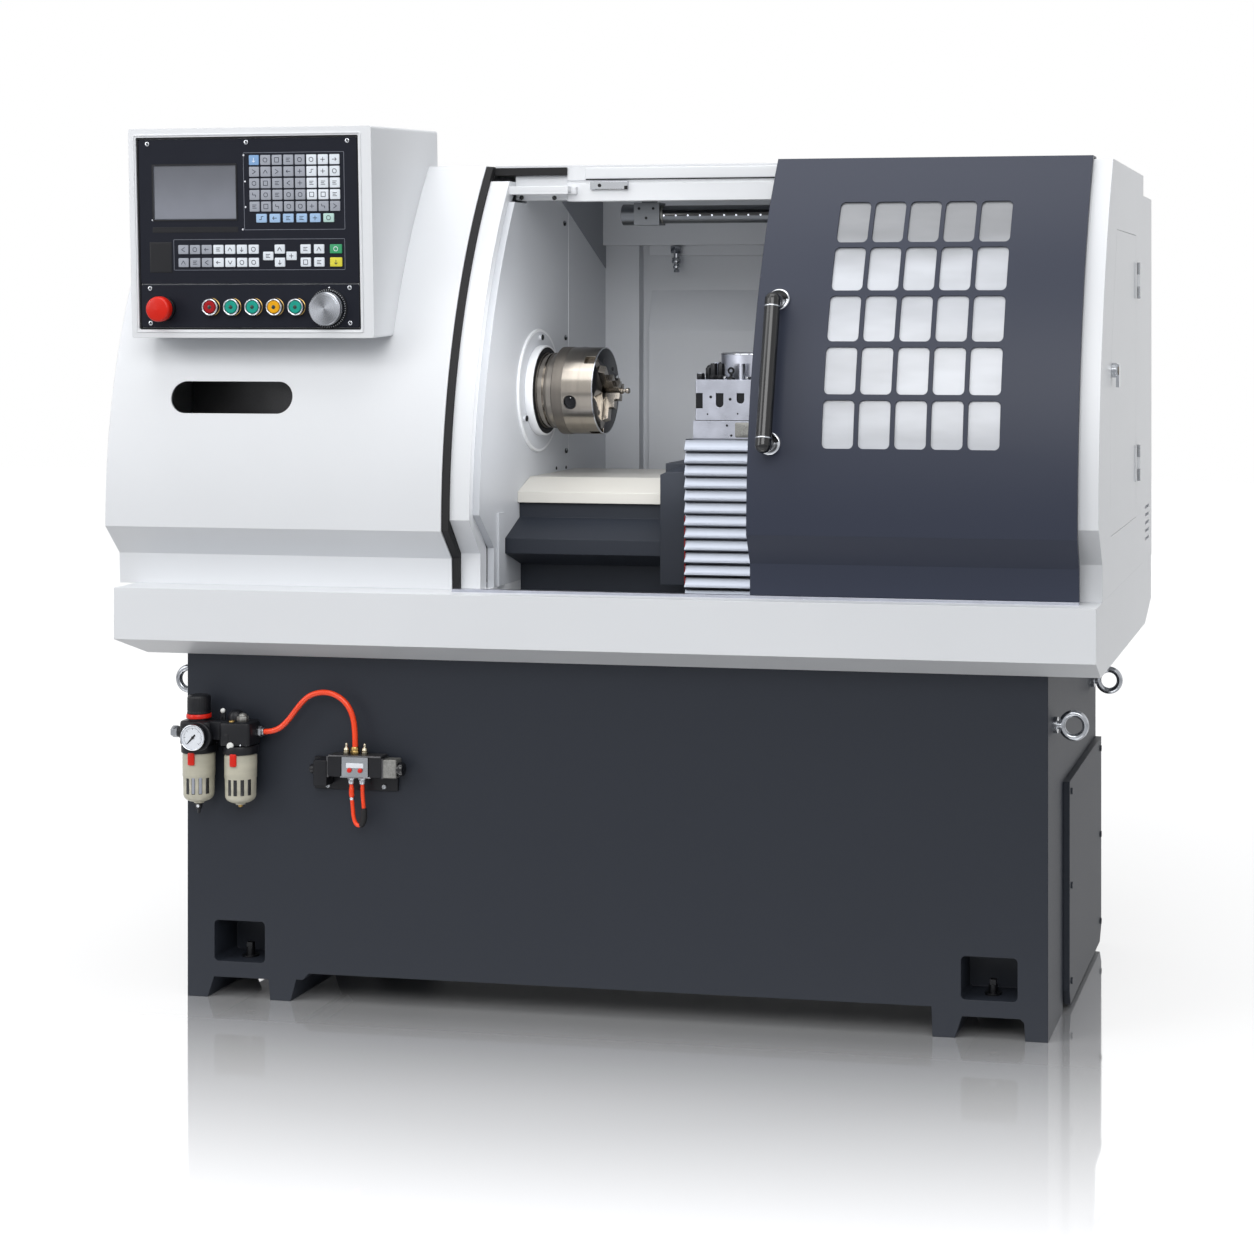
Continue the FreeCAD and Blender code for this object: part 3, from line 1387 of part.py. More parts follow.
# keyboard unit with screen recess and raised keys
face = "panel_recess"
keyboard = body("Keyboard")
key_top = "keyboard_low + keyboard_height"
pad(keyboard, "XZ", [rounded("panel_inset", "panel_inset + panel_width", "keyboard_low", key_top, "4")],
    face, f"{face} + panel_thick")
pocket(keyboard, "XZ", [rounded("screen_left", "screen_left + screen_width", "screen_low",
                                "screen_low + screen_height", "2")], face, f"{face} + 3")
# raised keys: a block of eight by five, each row repeated across
for number in range(5):
    key_z = f"key_low + key_pitch_z * {number}"
    key = pad(keyboard, "XZ", [rounded("key_left", "key_left + key_size", key_z, f"{key_z} + key_size",
                                       "1.5")], f"{face} - key_thick", f"{face} + 0.5")
    row_copies(keyboard, key, "X", "key_pitch_x", "8")
soft_key = rounded("soft_left", "soft_left + soft_width", "soft_low", "soft_low + soft_height", "1.5")
key = pad(keyboard, "XZ", [soft_key], f"{face} - key_thick", f"{face} + 0.5")
row_copies(keyboard, key, "X", "soft_pitch", "6")
# lower strip: two rows of seven, a cross of four, a block of four and two wide keys at the end
for number in range(2):
    low, high = f"strip_z + strip_pitch_z * {number}", f"strip_z + strip_pitch_z * {number} + strip_key_high"
    key = pad(keyboard, "XZ", [rounded("strip_x", "strip_x + strip_key", low, high, "1.5")],
              f"{face} - key_thick", f"{face} + 0.5")
    row_copies(keyboard, key, "X", "strip_pitch", "7")
    others = [
        rounded("pair_left", "pair_left + strip_key", low, high, "1.5"),
        rounded("pair_left + pair_pitch", "pair_left + pair_pitch + strip_key", low, high, "1.5"),
        rounded("start_left", "start_left + start_width", low, high, "1.5"),
        rounded("cross_left + cross_pitch", "cross_left + cross_pitch + strip_key", low, high, "1.5"),
    ]
    pad(keyboard, "XZ", others, f"{face} - key_thick", f"{face} + 0.5")
    side = f"cross_left + cross_pitch * {2 * number}"
    middle = "strip_z + strip_pitch_z / 2"
    side_key = rounded(side, f"{side} + strip_key", middle, f"{middle} + strip_key_high - 1", "1.5")
    pad(keyboard, "XZ", [side_key], f"{face} - key_thick", f"{face} + 0.5")
piece("cnc_keyboard", keyboard, tilted=True)
glass = box("screen_left + 0.8", "screen_left + screen_width - 0.8", f"{face} + 0.8", f"{face} + 3",
            "screen_low + 0.8", "screen_low + screen_height - 0.8")
piece("display_glass", group(glass), tilted=True)

# push-button panel with holes for what passes through it
lower = body("ButtonPanel")
pad(lower, "XZ", [rounded("panel_inset", "panel_inset + panel_width", "panel_low",
                          "panel_low + panel_height", "4")], face, f"{face} + panel_thick")
pocket(lower, "XZ", holes, face, f"{face} + panel_thick")
piece("button_panel", lower, tilted=True)

# chrome rings of the push buttons, the stop button's collar and the dial's bezel
rings = body("ButtonRings")
for x in button_x:
    pad(rings, "XZ", [("circle", x, "button_z", "button_ring"),
                      ("circle", x, "button_z", "button_radius + seat_gap")], f"{face} - 4", face)
pad(rings, "XZ", [("circle", "stop_x", "stop_z", "14"), ("circle", "stop_x", "stop_z", "9 + seat_gap")],
    f"{face} - 7", face)
pad(rings, "XZ", [("circle", "dial_x", "stop_z", "dial_radius + 2"),
                  ("circle", "dial_x", "stop_z", "9 + seat_gap")], f"{face} - 3", face)
piece("button_rings", rings, tilted=True)

behind_panel = f"{face} + panel_thick + 10"
for number, x in enumerate(button_x, 1):
    cap = body("PushButton%d" % number)
    turned(cap, "XY", [[
        ("0", f"{behind_panel}"),
        ("0", f"{face} - button_out"),
        ("button_radius - 2", f"{face} - button_out"),
        ("button_radius", f"{face} - button_out + 2"),
        ("button_radius", f"{behind_panel}"),
    ]], "Y")
    moved = doc.addObject("Part::Compound", "Cap")
    moved.Links = [cap]
    place(cap, x, "0", "button_z")
    piece("push_button_%d" % number, moved, tilted=True)

mushroom = body("StopButton")
turned(mushroom, "XY", [[
    ("0", f"{behind_panel}"),
    ("0", f"{face} - 34"),
    ("stop_radius - 7", f"{face} - 33"),
    ("stop_radius - 1", f"{face} - 29"),
    ("stop_radius", f"{face} - 25"),
    ("stop_radius", f"{face} - 18"),
    ("stop_radius - 3", f"{face} - 15"),
    ("9", f"{face} - 15"),
    ("9", f"{behind_panel}"),
]], "Y")
place(mushroom, "stop_x", "0", "stop_z")
piece("stop_button", group(mushroom), tilted=True)

dial = body("Dial")
turned(dial, "XY", [[
    ("0", f"{behind_panel}"),
    ("0", f"{face} - 17"),
    ("dial_radius - 8", f"{face} - 17"),
    ("dial_radius - 7", f"{face} - 19"),
    ("dial_radius - 2", f"{face} - 19"),
    ("dial_radius", f"{face} - 17"),
    ("dial_radius", f"{face} - 5"),
    ("dial_radius - 2", f"{face} - 3.3"),
    ("9", f"{face} - 3.3"),
    ("9", f"{behind_panel}"),
]], "Y")
dimple = pocket(dial, "XZ", [("circle", "dial_radius * 0.52", "0", "5")], f"{face} - 21", f"{face} - 13")
place(dial, "dial_x", "0", "stop_z")
piece("handwheel_dial", group(dial), tilted=True)

# ---------------------------------------------------------------- air preparation unit
bowls = []
for x in ("filter_x", "oiler_x"):
    bowls.append(fuse(
        rod("Z", x, "air_y", "bowl_low", "bowl_top - bowl_low - 14", "bowl_radius - 2"),
        rod("Z", x, "air_y", "bowl_top - 14", "14", "bowl_radius"),
        cone("Z", x, "air_y", "bowl_low - 8", "8", "bowl_radius - 12", "bowl_radius - 2"),
        rod("Z", x, "air_y", "bowl_low - 22", "15", "5"),
    ))
piece("air_bowls", group(*bowls))
air = fuse(
    box("filter_x - 35", "filter_x + 34", "air_y - 26", "air_y + 24", "bowl_top", "knob_low - 12"),
    rod("Z", "filter_x", "air_y", "knob_low - 12", "12 - seat_gap", "knob_radius - 1"),
    box("oiler_x - 32", "oiler_x + 28", "air_y - 26", "air_y + 24", "bowl_top", "knob_low - 12"),
    rod("Z", "oiler_x - 11", "air_y + 8", "knob_low - 13", "21", "14"),
    hexagon("Z", "oiler_x + 6", "air_y - 8", "knob_low - 13", "18", "17"),
    hexagon("Z", "oiler_x - 36", "air_y", "air_z + 31", "18", "8"),
    box("filter_x + 33", "oiler_x - 31", "air_y - 14", "air_y + 14", "air_z - 12", "air_z + 32"),
    hexagon("X", "filter_x - 46", "air_y", "air_z + 12", "12", "15"),
    hexagon("X", "oiler_x + 26.5", "hose_y", "air_z + 14.3", "8", "15"),
    rod("X", "oiler_x + 33.5", "hose_y", "air_z + 14.3", "6.5", "8"),
    box("filter_x - 20", "oiler_x + 20", "air_y + 23", "0", "air_z - 10", "air_z + 20"),
)
piece("air_unit", air)
gauge = fuse(
    rod("Y", "gauge_x", "air_y - 44", "gauge_z", "14", "gauge_radius"),
    rod("Y", "gauge_x", "air_y - 31", "gauge_z", "5", "7"),
)
piece("pressure_gauge", gauge)
knob = body("RegulatorKnob")
pad(knob, "XY", [("circle", "0", "0", "knob_radius")], "knob_low", "knob_low + knob_height")
groove = pocket(knob, "XY", [("circle", "knob_radius + 1", "0", "2.2")], "knob_low + 9",
                "knob_low + knob_height + 1")
round_copies(knob, groove, "Z", 12)
place(knob, "filter_x", "air_y", "0")
piece("regulator_knob", knob)

# double solenoid valve with its fittings
valve = fuse(
    box("valve_x - 17.5", "valve_x + 33", "-42", "-8", "valve_low", "valve_high"),
    box("valve_x - 46", "valve_x - 17.5", "-41", "-10", "valve_low - 1", "valve_high - 1"),
    box("valve_x + 33", "valve_x + 58", "-41", "-10", "valve_low - 1", "valve_high - 1"),
    box("valve_x - 74", "valve_x - 46", "-38", "-7", "valve_low - 18", "valve_high - 10"),
    rod("X", "valve_x - 86", "-25", "valve_low + 11", "12.5", "9"),
    box("valve_x + 58", "valve_x + 79", "-38", "-12", "valve_low + 1", "valve_high - 6"),
    rod("X", "valve_x + 78.5", "-25", "valve_low + 14", "9.5", "14"),
    box("valve_x - 86", "valve_x + 75", "-8", "0", "valve_low - 28", "valve_high - 8"),
    rod("Z", "valve_x - 15", "hose_y", "valve_high", "12", "5"),
    hexagon("Z", "valve_x + 1.6", "hose_y", "valve_high", "7", "8"),
    rod("Z", "valve_x + 1.6", "hose_y", "valve_high + 6", "7", "7"),
    rod("Z", "valve_x + 20", "hose_y", "valve_high", "12", "5"),
    rod("Z", "valve_x - 5.5", "hose_y", "valve_low - 14", "14.5", "6"),
    rod("Z", "valve_x + 15.5", "hose_y", "valve_low - 14", "14.5", "6"),
    rod("Y", "valve_x - 1.5", "-46", "valve_low + 13", "6", "4"),
    rod("Y", "valve_x + 19", "-46", "valve_low + 13", "6", "4"),
)
piece("solenoid_valve", valve)


def tube(label, route, radius):
    # a hose along straight runs joined by arcs, each as large as its two runs allow
    points = [Vector(x, num("hose_y"), z) for x, z in route]
    edges, radii = [], []
    at = points[0]
    for before, here, after in zip(points, points[1:], points[2:]):
        back, on = (before - here), (after - here)
        shorter = min(back.Length, on.Length)
        back.normalize()
        on.normalize()
        turn = math.pi - back.getAngle(on)
        bend = 0.45 * shorter / math.tan(turn / 2)
        radii.append(round(bend, 1))
        first, last = here + back * (0.45 * shorter), here + on * (0.45 * shorter)
        centre = here + (back + on).normalize() * (bend / math.cos(turn / 2))
        middle = centre + (here - centre).normalize() * bend
        edges.append(Part.LineSegment(at, first).toShape())
        edges.append(Part.Arc(first, middle, last).toShape())
        at = last
    edges.append(Part.LineSegment(at, points[-1]).toShape())
    path = Part.Wire(edges)
    ring_edge = Part.Circle(points[0], points[1] - points[0], radius).toShape()
    solid = path.makePipeShell([Part.Wire([ring_edge])], True, False)
    share = solid.Volume / (math.pi * radius ** 2 * path.Length)
    print(label, "radii", radii, "volume ratio", round(share, 5))
    feature = doc.addObject("Part::Feature", "Hose")
    feature.Shape = solid
    return piece(label, feature)


# The main hose leaves the oiler's port level, climbs and drops onto the valve's inlet.
port_x = num("oiler_x + 40")
port_z = num("air_z + 14.3")
inlet_x = num("valve_x + 1.6")
inlet_z = num("valve_high + 13")
route = [(port_x, port_z)]
for length, angle in ((16, 0), (28, 28), (60, 53), (26, 28), (26, 4), (26, -22), (26, -48), (33, -70)):
    x, z = route[-1]
    route.append((x + length * math.cos(math.radians(angle)), z + length * math.sin(math.radians(angle))))
route[-1] = (inlet_x, route[-1][1])
route.append((inlet_x, inlet_z))
print("air hose route", [(round(x, 1), round(z, 1)) for x, z in route])
tube("air_hose", route, num("hose_radius"))

# The small hose hangs from one outlet of the valve and folds up into the other.
out_a, out_b = num("valve_x - 5.5"), num("valve_x + 15.5")
out_z = num("valve_low - 14")
tube("valve_hose", [
    (out_a, out_z),
    (out_a, out_z - 20),
    (out_a + 2.5, out_z - 44),
    (out_a + 4, out_z - 62),
    (out_a + 9.5, out_z - 75),
    (out_a + 19.5, out_z - 75),
    (out_a + 24.5, out_z - 62),
    (out_b + 2.5, out_z - 42),
    (out_b, out_z - 18),
    (out_b, out_z),
], num("small_hose_radius"))

# ---------------------------------------------------------------- checks and files
doc.recompute()
for thing in doc.Objects:
    if "Invalid" in thing.State or "Error" in thing.State:
        raise ValueError("%s (%s) failed: %s" % (thing.Name, thing.Label, thing.State))
os.makedirs("parts", exist_ok=True)
for made in pieces:
    shape = made.Shape
    if shape.isNull() or not shape.isValid() or not shape.Solids:
        raise ValueError("%s has no sound shape" % made.Label)
    shape.exportStep("parts/%s.step" % made.Label)
print(len(pieces), "pieces")
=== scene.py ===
import math
import bmesh
import bpy
import numpy as np
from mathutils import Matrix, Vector


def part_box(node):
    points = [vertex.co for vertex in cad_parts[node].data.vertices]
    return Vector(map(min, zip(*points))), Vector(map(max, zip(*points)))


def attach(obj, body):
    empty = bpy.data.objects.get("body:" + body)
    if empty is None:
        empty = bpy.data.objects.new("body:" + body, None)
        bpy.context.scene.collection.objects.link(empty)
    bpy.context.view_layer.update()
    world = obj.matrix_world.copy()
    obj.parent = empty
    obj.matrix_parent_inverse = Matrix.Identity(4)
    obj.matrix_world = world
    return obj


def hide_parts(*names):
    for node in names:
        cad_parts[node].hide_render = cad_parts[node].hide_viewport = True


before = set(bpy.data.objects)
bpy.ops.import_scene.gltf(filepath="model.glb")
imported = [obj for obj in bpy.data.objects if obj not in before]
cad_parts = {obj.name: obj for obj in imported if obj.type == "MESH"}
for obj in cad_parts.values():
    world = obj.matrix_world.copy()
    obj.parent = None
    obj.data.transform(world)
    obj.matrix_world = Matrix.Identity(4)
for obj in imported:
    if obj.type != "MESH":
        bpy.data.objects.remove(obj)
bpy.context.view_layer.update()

# places are in millimetres from the middle of the base's front foot line, as on the machine's drawing
datum = np.array([18.5, -404.4, 0.0])
spindleAxis = (0, 290.0, 1107.0)  # a place on the line that the chuck and the flange are round
hosePlane = -25.0  # both hoses hang this far in front of the base


def toFrame(points):
    # millimetres from the drawing's datum to metres in the part's frame
    return (np.asarray(points, float) + datum) / 1000


def nodeBox(name):
    # lowest and highest corner of a solid, in the drawing's millimetres
    low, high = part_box(name)
    return np.array(low) * 1000 - datum, np.array(high) * 1000 - datum


def tint(code, alpha=1.0):
    # sRGB hex to linear: c/12.92 for dark values, ((c+0.055)/1.055)^2.4 for the rest
    parts = [int(code[i:i + 2], 16) / 255 for i in (1, 3, 5)]
    return [p / 12.92 if p <= 0.04045 else ((p + 0.055) / 1.055) ** 2.4 for p in parts] + [alpha]


def addNode(tree, kind, inputs=None, stops=None, **settings):
    # one node, with its settings, its values and what feeds it
    node = tree.nodes.new(kind)
    for key, value in settings.items():
        setattr(node, key, value)
    if stops:
        while len(node.color_ramp.elements) < len(stops):
            node.color_ramp.elements.new(0.5)
        for element, (spot, shade) in zip(node.color_ramp.elements, stops):
            element.position = spot
            element.color = shade
    for socket, value in (inputs or {}).items():
        if isinstance(value, tuple) and isinstance(value[0], bpy.types.Node):
            tree.links.new(value[0].outputs[value[1]], node.inputs[socket])
        else:
            node.inputs[socket].default_value = value
    return node


def grey(level):
    return [level, level, level, 1.0]


def startMaterial(name):
    # an empty material and the places in metres that its patterns are worked out from
    made = bpy.data.materials.new(name)
    made.use_nodes = True
    made.node_tree.nodes.clear()
    return made, made.node_tree, addNode(made.node_tree, "ShaderNodeTexCoord")


def endMaterial(made, tree, shader):
    addNode(tree, "ShaderNodeOutputMaterial", {"Surface": (shader, 0)})
    return made


def endSurface(made, tree, colour, gloss, relief, edgeMm, strength, depthMm, extra, samples=6):
    # edges rounded a little, a fine relief over them, and the shader that both belong to
    edge = addNode(tree, "ShaderNodeBevel", {"Radius": edgeMm / 1000}, samples=samples)
    bump = addNode(tree, "ShaderNodeBump", {"Strength": strength, "Distance": depthMm / 1000,
                                            "Height": (relief, 0), "Normal": (edge, 0)})
    shader = addNode(tree, "ShaderNodeBsdfPrincipled", {"Base Color": colour, "Roughness": (gloss, 0),
                                                        "Normal": (bump, 0), **extra})
    return endMaterial(made, tree, shader)


def fadeUpwards(tree, where, level, fade):
    # the level times a smooth change between two heights in mm, from the third value to the fourth
    split = addNode(tree, "ShaderNodeSeparateXYZ", {0: (where, "Object")})
    fall = addNode(tree, "ShaderNodeMapRange", {0: (split, 2), 1: fade[0] / 1000, 2: fade[1] / 1000,
                                                3: fade[2], 4: fade[3]}, interpolation_type="SMOOTHSTEP")
    return addNode(tree, "ShaderNodeMath", {0: (level, 0), 1: (fall, 0)}, operation="MULTIPLY")


def powderCoat(name, hexCode, peelMm=3.0, peelDepth=0.02, rough=0.36, edgeMm=1.6, drift=0.025, fleck=0.0,
               sheen=0.5):
    # baked powder paint on sheet or casting: a soft orange peel, edges a little rounded by the film,
    # and a slow drift of shade over large faces; a textured coat has a finer, deeper peel and flecks
    made, tree, where = startMaterial(name)
    cloud = addNode(tree, "ShaderNodeTexNoise", {"Vector": (where, "Object"), "Scale": 1.7, "Detail": 3.0})
    level = addNode(tree, "ShaderNodeValToRGB", {0: (cloud, 0)},
                    stops=[(0.3, grey(1 - drift * 2)), (0.7, grey(1.0))])
    peel = addNode(tree, "ShaderNodeTexNoise", {"Vector": (where, "Object"), "Scale": 1000 / peelMm,
                                                "Detail": 2.0, "Roughness": 0.45})
    shade = addNode(tree, "ShaderNodeMix", {0: 1.0, 6: tint(hexCode), 7: (level, 0)},
                    data_type="RGBA", blend_type="MULTIPLY")
    if fleck:
        specks = addNode(tree, "ShaderNodeTexVoronoi", {"Vector": (where, "Object"), "Scale": 900.0})
        lit = addNode(tree, "ShaderNodeValToRGB", {0: (specks, 0)},
                      stops=[(0.0, grey(1 + fleck)), (0.22, grey(1.0)), (1.0, grey(1 - fleck * 0.5))])
        shade = addNode(tree, "ShaderNodeMix", {0: 1.0, 6: (shade, 2), 7: (lit, 0)},
                        data_type="RGBA", blend_type="MULTIPLY")
    gloss = addNode(tree, "ShaderNodeMapRange", {0: (peel, 0), 3: rough - 0.05, 4: rough + 0.07})
    return endSurface(made, tree, (shade, 2), gloss, peel, edgeMm, 0.5, peelDepth * 4,
                      {"IOR": 1.5, "Specular IOR Level": sheen})


def turnedSteel(name, hexCode, centre, pitchMm=1.1, rough=0.24, contrast=0.12, axis=0, paintedFan=0.0):
    # steel turned and ground about a line: fine rings that follow the distance from the line on flat
    # faces and the place along it on round ones; a spun face also gets pale fans about its
    # middle, a painted highlight
    made, tree, where = startMaterial(name)
    moved = addNode(tree, "ShaderNodeMapping", {"Vector": (where, "Object"),
                                                "Location": [-c for c in toFrame(centre)]})
    split = addNode(tree, "ShaderNodeSeparateXYZ", {0: (moved, 0)})
    across = [i for i in range(3) if i != axis]
    flat = addNode(tree, "ShaderNodeCombineXYZ", {0: (split, across[0]), 1: (split, across[1])})
    away = addNode(tree, "ShaderNodeVectorMath", {0: (flat, 0)}, operation="LENGTH")
    ringSpot = addNode(tree, "ShaderNodeCombineXYZ", {0: (split, axis), 1: (away, 1)})
    rings = addNode(tree, "ShaderNodeTexNoise", {"Vector": (ringSpot, 0), "Scale": 1000 / pitchMm,
                                                 "Detail": 4.0, "Roughness": 0.65})
    broad = addNode(tree, "ShaderNodeTexNoise", {"Vector": (ringSpot, 0), "Scale": 90.0, "Detail": 2.0})
    both = addNode(tree, "ShaderNodeMath", {0: (rings, 0), 1: (broad, 0)}, operation="ADD")
    level = addNode(tree, "ShaderNodeMapRange", {0: (both, 0), 1: 0.6, 2: 1.4,
                                                 3: 1 - contrast, 4: 1 + contrast})
    if paintedFan:
        turn = addNode(tree, "ShaderNodeMath", {0: (split, across[1]), 1: (split, across[0])},
                       operation="ARCTAN2")
        twice = addNode(tree, "ShaderNodeMath", {0: (turn, 0), 1: 2.0, 2: 0.7}, operation="MULTIPLY_ADD")
        wave = addNode(tree, "ShaderNodeMath", {0: (twice, 0)}, operation="SINE")
        level = addNode(tree, "ShaderNodeMath", {0: (wave, 0), 1: paintedFan, 2: (level, 0)},
                        operation="MULTIPLY_ADD")
    shade = addNode(tree, "ShaderNodeVectorMath", {0: tint(hexCode)[:3], 3: (level, 0)}, operation="SCALE")
    gloss = addNode(tree, "ShaderNodeMapRange", {0: (rings, 0), 3: rough - 0.06, 4: rough + 0.1})
    return endSurface(made, tree, (shade, 0), gloss, rings, 0.8, 0.25, 0.04, {"Metallic": 1.0})


def drawnMetal(name, hexCode, grain=(1.0, 1.0, 1.0), grainMm=0.8, rough=0.28, contrast=0.08, edgeMm=0.7,
               metallic=1.0, smear=0.0, steps=None):
    # ground, drawn or plated metal: grain stretched along the way it was worked, uneven polish; rolled
    # strips laid over each other (steps: top and pitch in mm) get a painted shade and highlight down each
    # one
    made, tree, where = startMaterial(name)
    along = addNode(tree, "ShaderNodeMapping", {"Vector": (where, "Object"), "Scale": grain})
    lines = addNode(tree, "ShaderNodeTexNoise", {"Vector": (along, 0), "Scale": 1000 / grainMm,
                                                 "Detail": 3.0})
    cloud = addNode(tree, "ShaderNodeTexNoise", {"Vector": (where, "Object"), "Scale": 38.0, "Detail": 4.0})
    mixed = addNode(tree, "ShaderNodeMath", {0: (lines, 0), 1: (cloud, 0)}, operation="ADD")
    level = addNode(tree, "ShaderNodeMapRange", {0: (mixed, 0), 1: 0.6, 2: 1.4,
                                                 3: 1 - contrast, 4: 1 + contrast})
    if steps:
        top, pitch, paintedStops = steps
        split = addNode(tree, "ShaderNodeSeparateXYZ", {0: (where, "Object")})
        down = addNode(tree, "ShaderNodeMath", {0: top / 1000, 1: (split, 2)}, operation="SUBTRACT")
        turns = addNode(tree, "ShaderNodeMath", {0: (down, 0), 1: 1000 / pitch}, operation="MULTIPLY")
        part = addNode(tree, "ShaderNodeMath", {0: (turns, 0)}, operation="FRACT")
        paintedSlatShade = addNode(tree, "ShaderNodeValToRGB", {0: (part, 0)},
                       stops=[(spot, grey(bright)) for spot, bright in paintedStops])
        level = addNode(tree, "ShaderNodeMath", {0: (level, 0), 1: (paintedSlatShade, 0)}, operation="MULTIPLY")
    shade = addNode(tree, "ShaderNodeVectorMath", {0: tint(hexCode)[:3], 3: (level, 0)}, operation="SCALE")
    gloss = addNode(tree, "ShaderNodeMapRange", {0: (cloud, 0), 1: 0.3, 2: 0.7, 3: rough - 0.05 - smear,
                                                 4: rough + 0.06 + smear})
    return endSurface(made, tree, (shade, 0), gloss, lines, edgeMm, 0.2, 0.03, {"Metallic": metallic})


def moulded(name, hexCode, grainMm=0.9, depth=0.02, rough=0.42, ior=1.5, drift=0.06, fade=None, sheen=0.5):
    # injection-moulded plastic or rubber: a fine spark-eroded grain and slightly soft edges; a screen's
    # glass carries a painted reflection that pales from its upper edge to its lower one
    made, tree, where = startMaterial(name)
    grain = addNode(tree, "ShaderNodeTexNoise", {"Vector": (where, "Object"), "Scale": 1000 / grainMm,
                                                 "Detail": 2.0})
    cloud = addNode(tree, "ShaderNodeTexNoise", {"Vector": (where, "Object"), "Scale": 25.0, "Detail": 2.0})
    level = addNode(tree, "ShaderNodeMapRange", {0: (cloud, 0), 1: 0.3, 2: 0.7, 3: 1 - drift, 4: 1 + drift})
    if fade:
        level = fadeUpwards(tree, where, level, fade)
    shade = addNode(tree, "ShaderNodeVectorMath", {0: tint(hexCode)[:3], 3: (level, 0)}, operation="SCALE")
    gloss = addNode(tree, "ShaderNodeMapRange", {0: (grain, 0), 3: rough - 0.05, 4: rough + 0.08})
    return endSurface(made, tree, (shade, 0), gloss, grain, 0.6, 0.35, depth * 3,
                      {"IOR": ior, "Specular IOR Level": sheen}, samples=4)


def clearSheet(name, hexCode, alpha, rough=0.12, streakMm=60.0, fade=None):
    # cast acrylic or polycarbonate: part of the light goes straight through, the rest is a milky
    # surface with faint level streaks from wiping; a window's upper edge is darker, a painted shade
    made, tree, where = startMaterial(name)
    along = addNode(tree, "ShaderNodeMapping", {"Vector": (where, "Object"), "Scale": (0.25, 0.25, 1.0)})
    streaks = addNode(tree, "ShaderNodeTexNoise", {"Vector": (along, 0), "Scale": 1000 / streakMm,
                                                   "Detail": 3.0})
    level = addNode(tree, "ShaderNodeMapRange", {0: (streaks, 0), 1: 0.3, 2: 0.7, 3: 0.75, 4: 1.0})
    if fade:
        level = fadeUpwards(tree, where, level, fade)
    shade = addNode(tree, "ShaderNodeVectorMath", {0: tint(hexCode)[:3], 3: (level, 0)}, operation="SCALE")
    gloss = addNode(tree, "ShaderNodeMapRange", {0: (streaks, 0), 3: rough, 4: rough + 0.1})
    sheet = addNode(tree, "ShaderNodeBsdfPrincipled", {"Base Color": (shade, 0), "Roughness": (gloss, 0),
                                                       "IOR": 1.49, "Alpha": alpha})
    return endMaterial(made, tree, sheet)


def litDiode(name, hexCode, strength):
    # a small lit diode under a clear dome: its brightness drifts a little from grain to grain
    made, tree, where = startMaterial(name)
    grain = addNode(tree, "ShaderNodeTexNoise", {"Vector": (where, "Object"), "Scale": 400.0})
    level = addNode(tree, "ShaderNodeMapRange", {0: (grain, 0), 3: strength * 0.7, 4: strength * 1.3})
    dome = addNode(tree, "ShaderNodeBsdfPrincipled", {"Base Color": tint(hexCode), "Roughness": 0.2,
                                                      "Emission Color": tint(hexCode),
                                                      "Emission Strength": (level, 0)})
    return endMaterial(made, tree, dome)


# painted shade and highlight down each slat, from under the overlap at its top to its rolled lower edge
slatTop, slatPitch = nodeBox("slat_apron")[1][2], 22.4
slatPaintedShade = [(0.0, 0.3), (0.12, 0.62), (0.34, 0.95), (0.6, 1.15), (0.86, 0.8), (1.0, 0.45)]


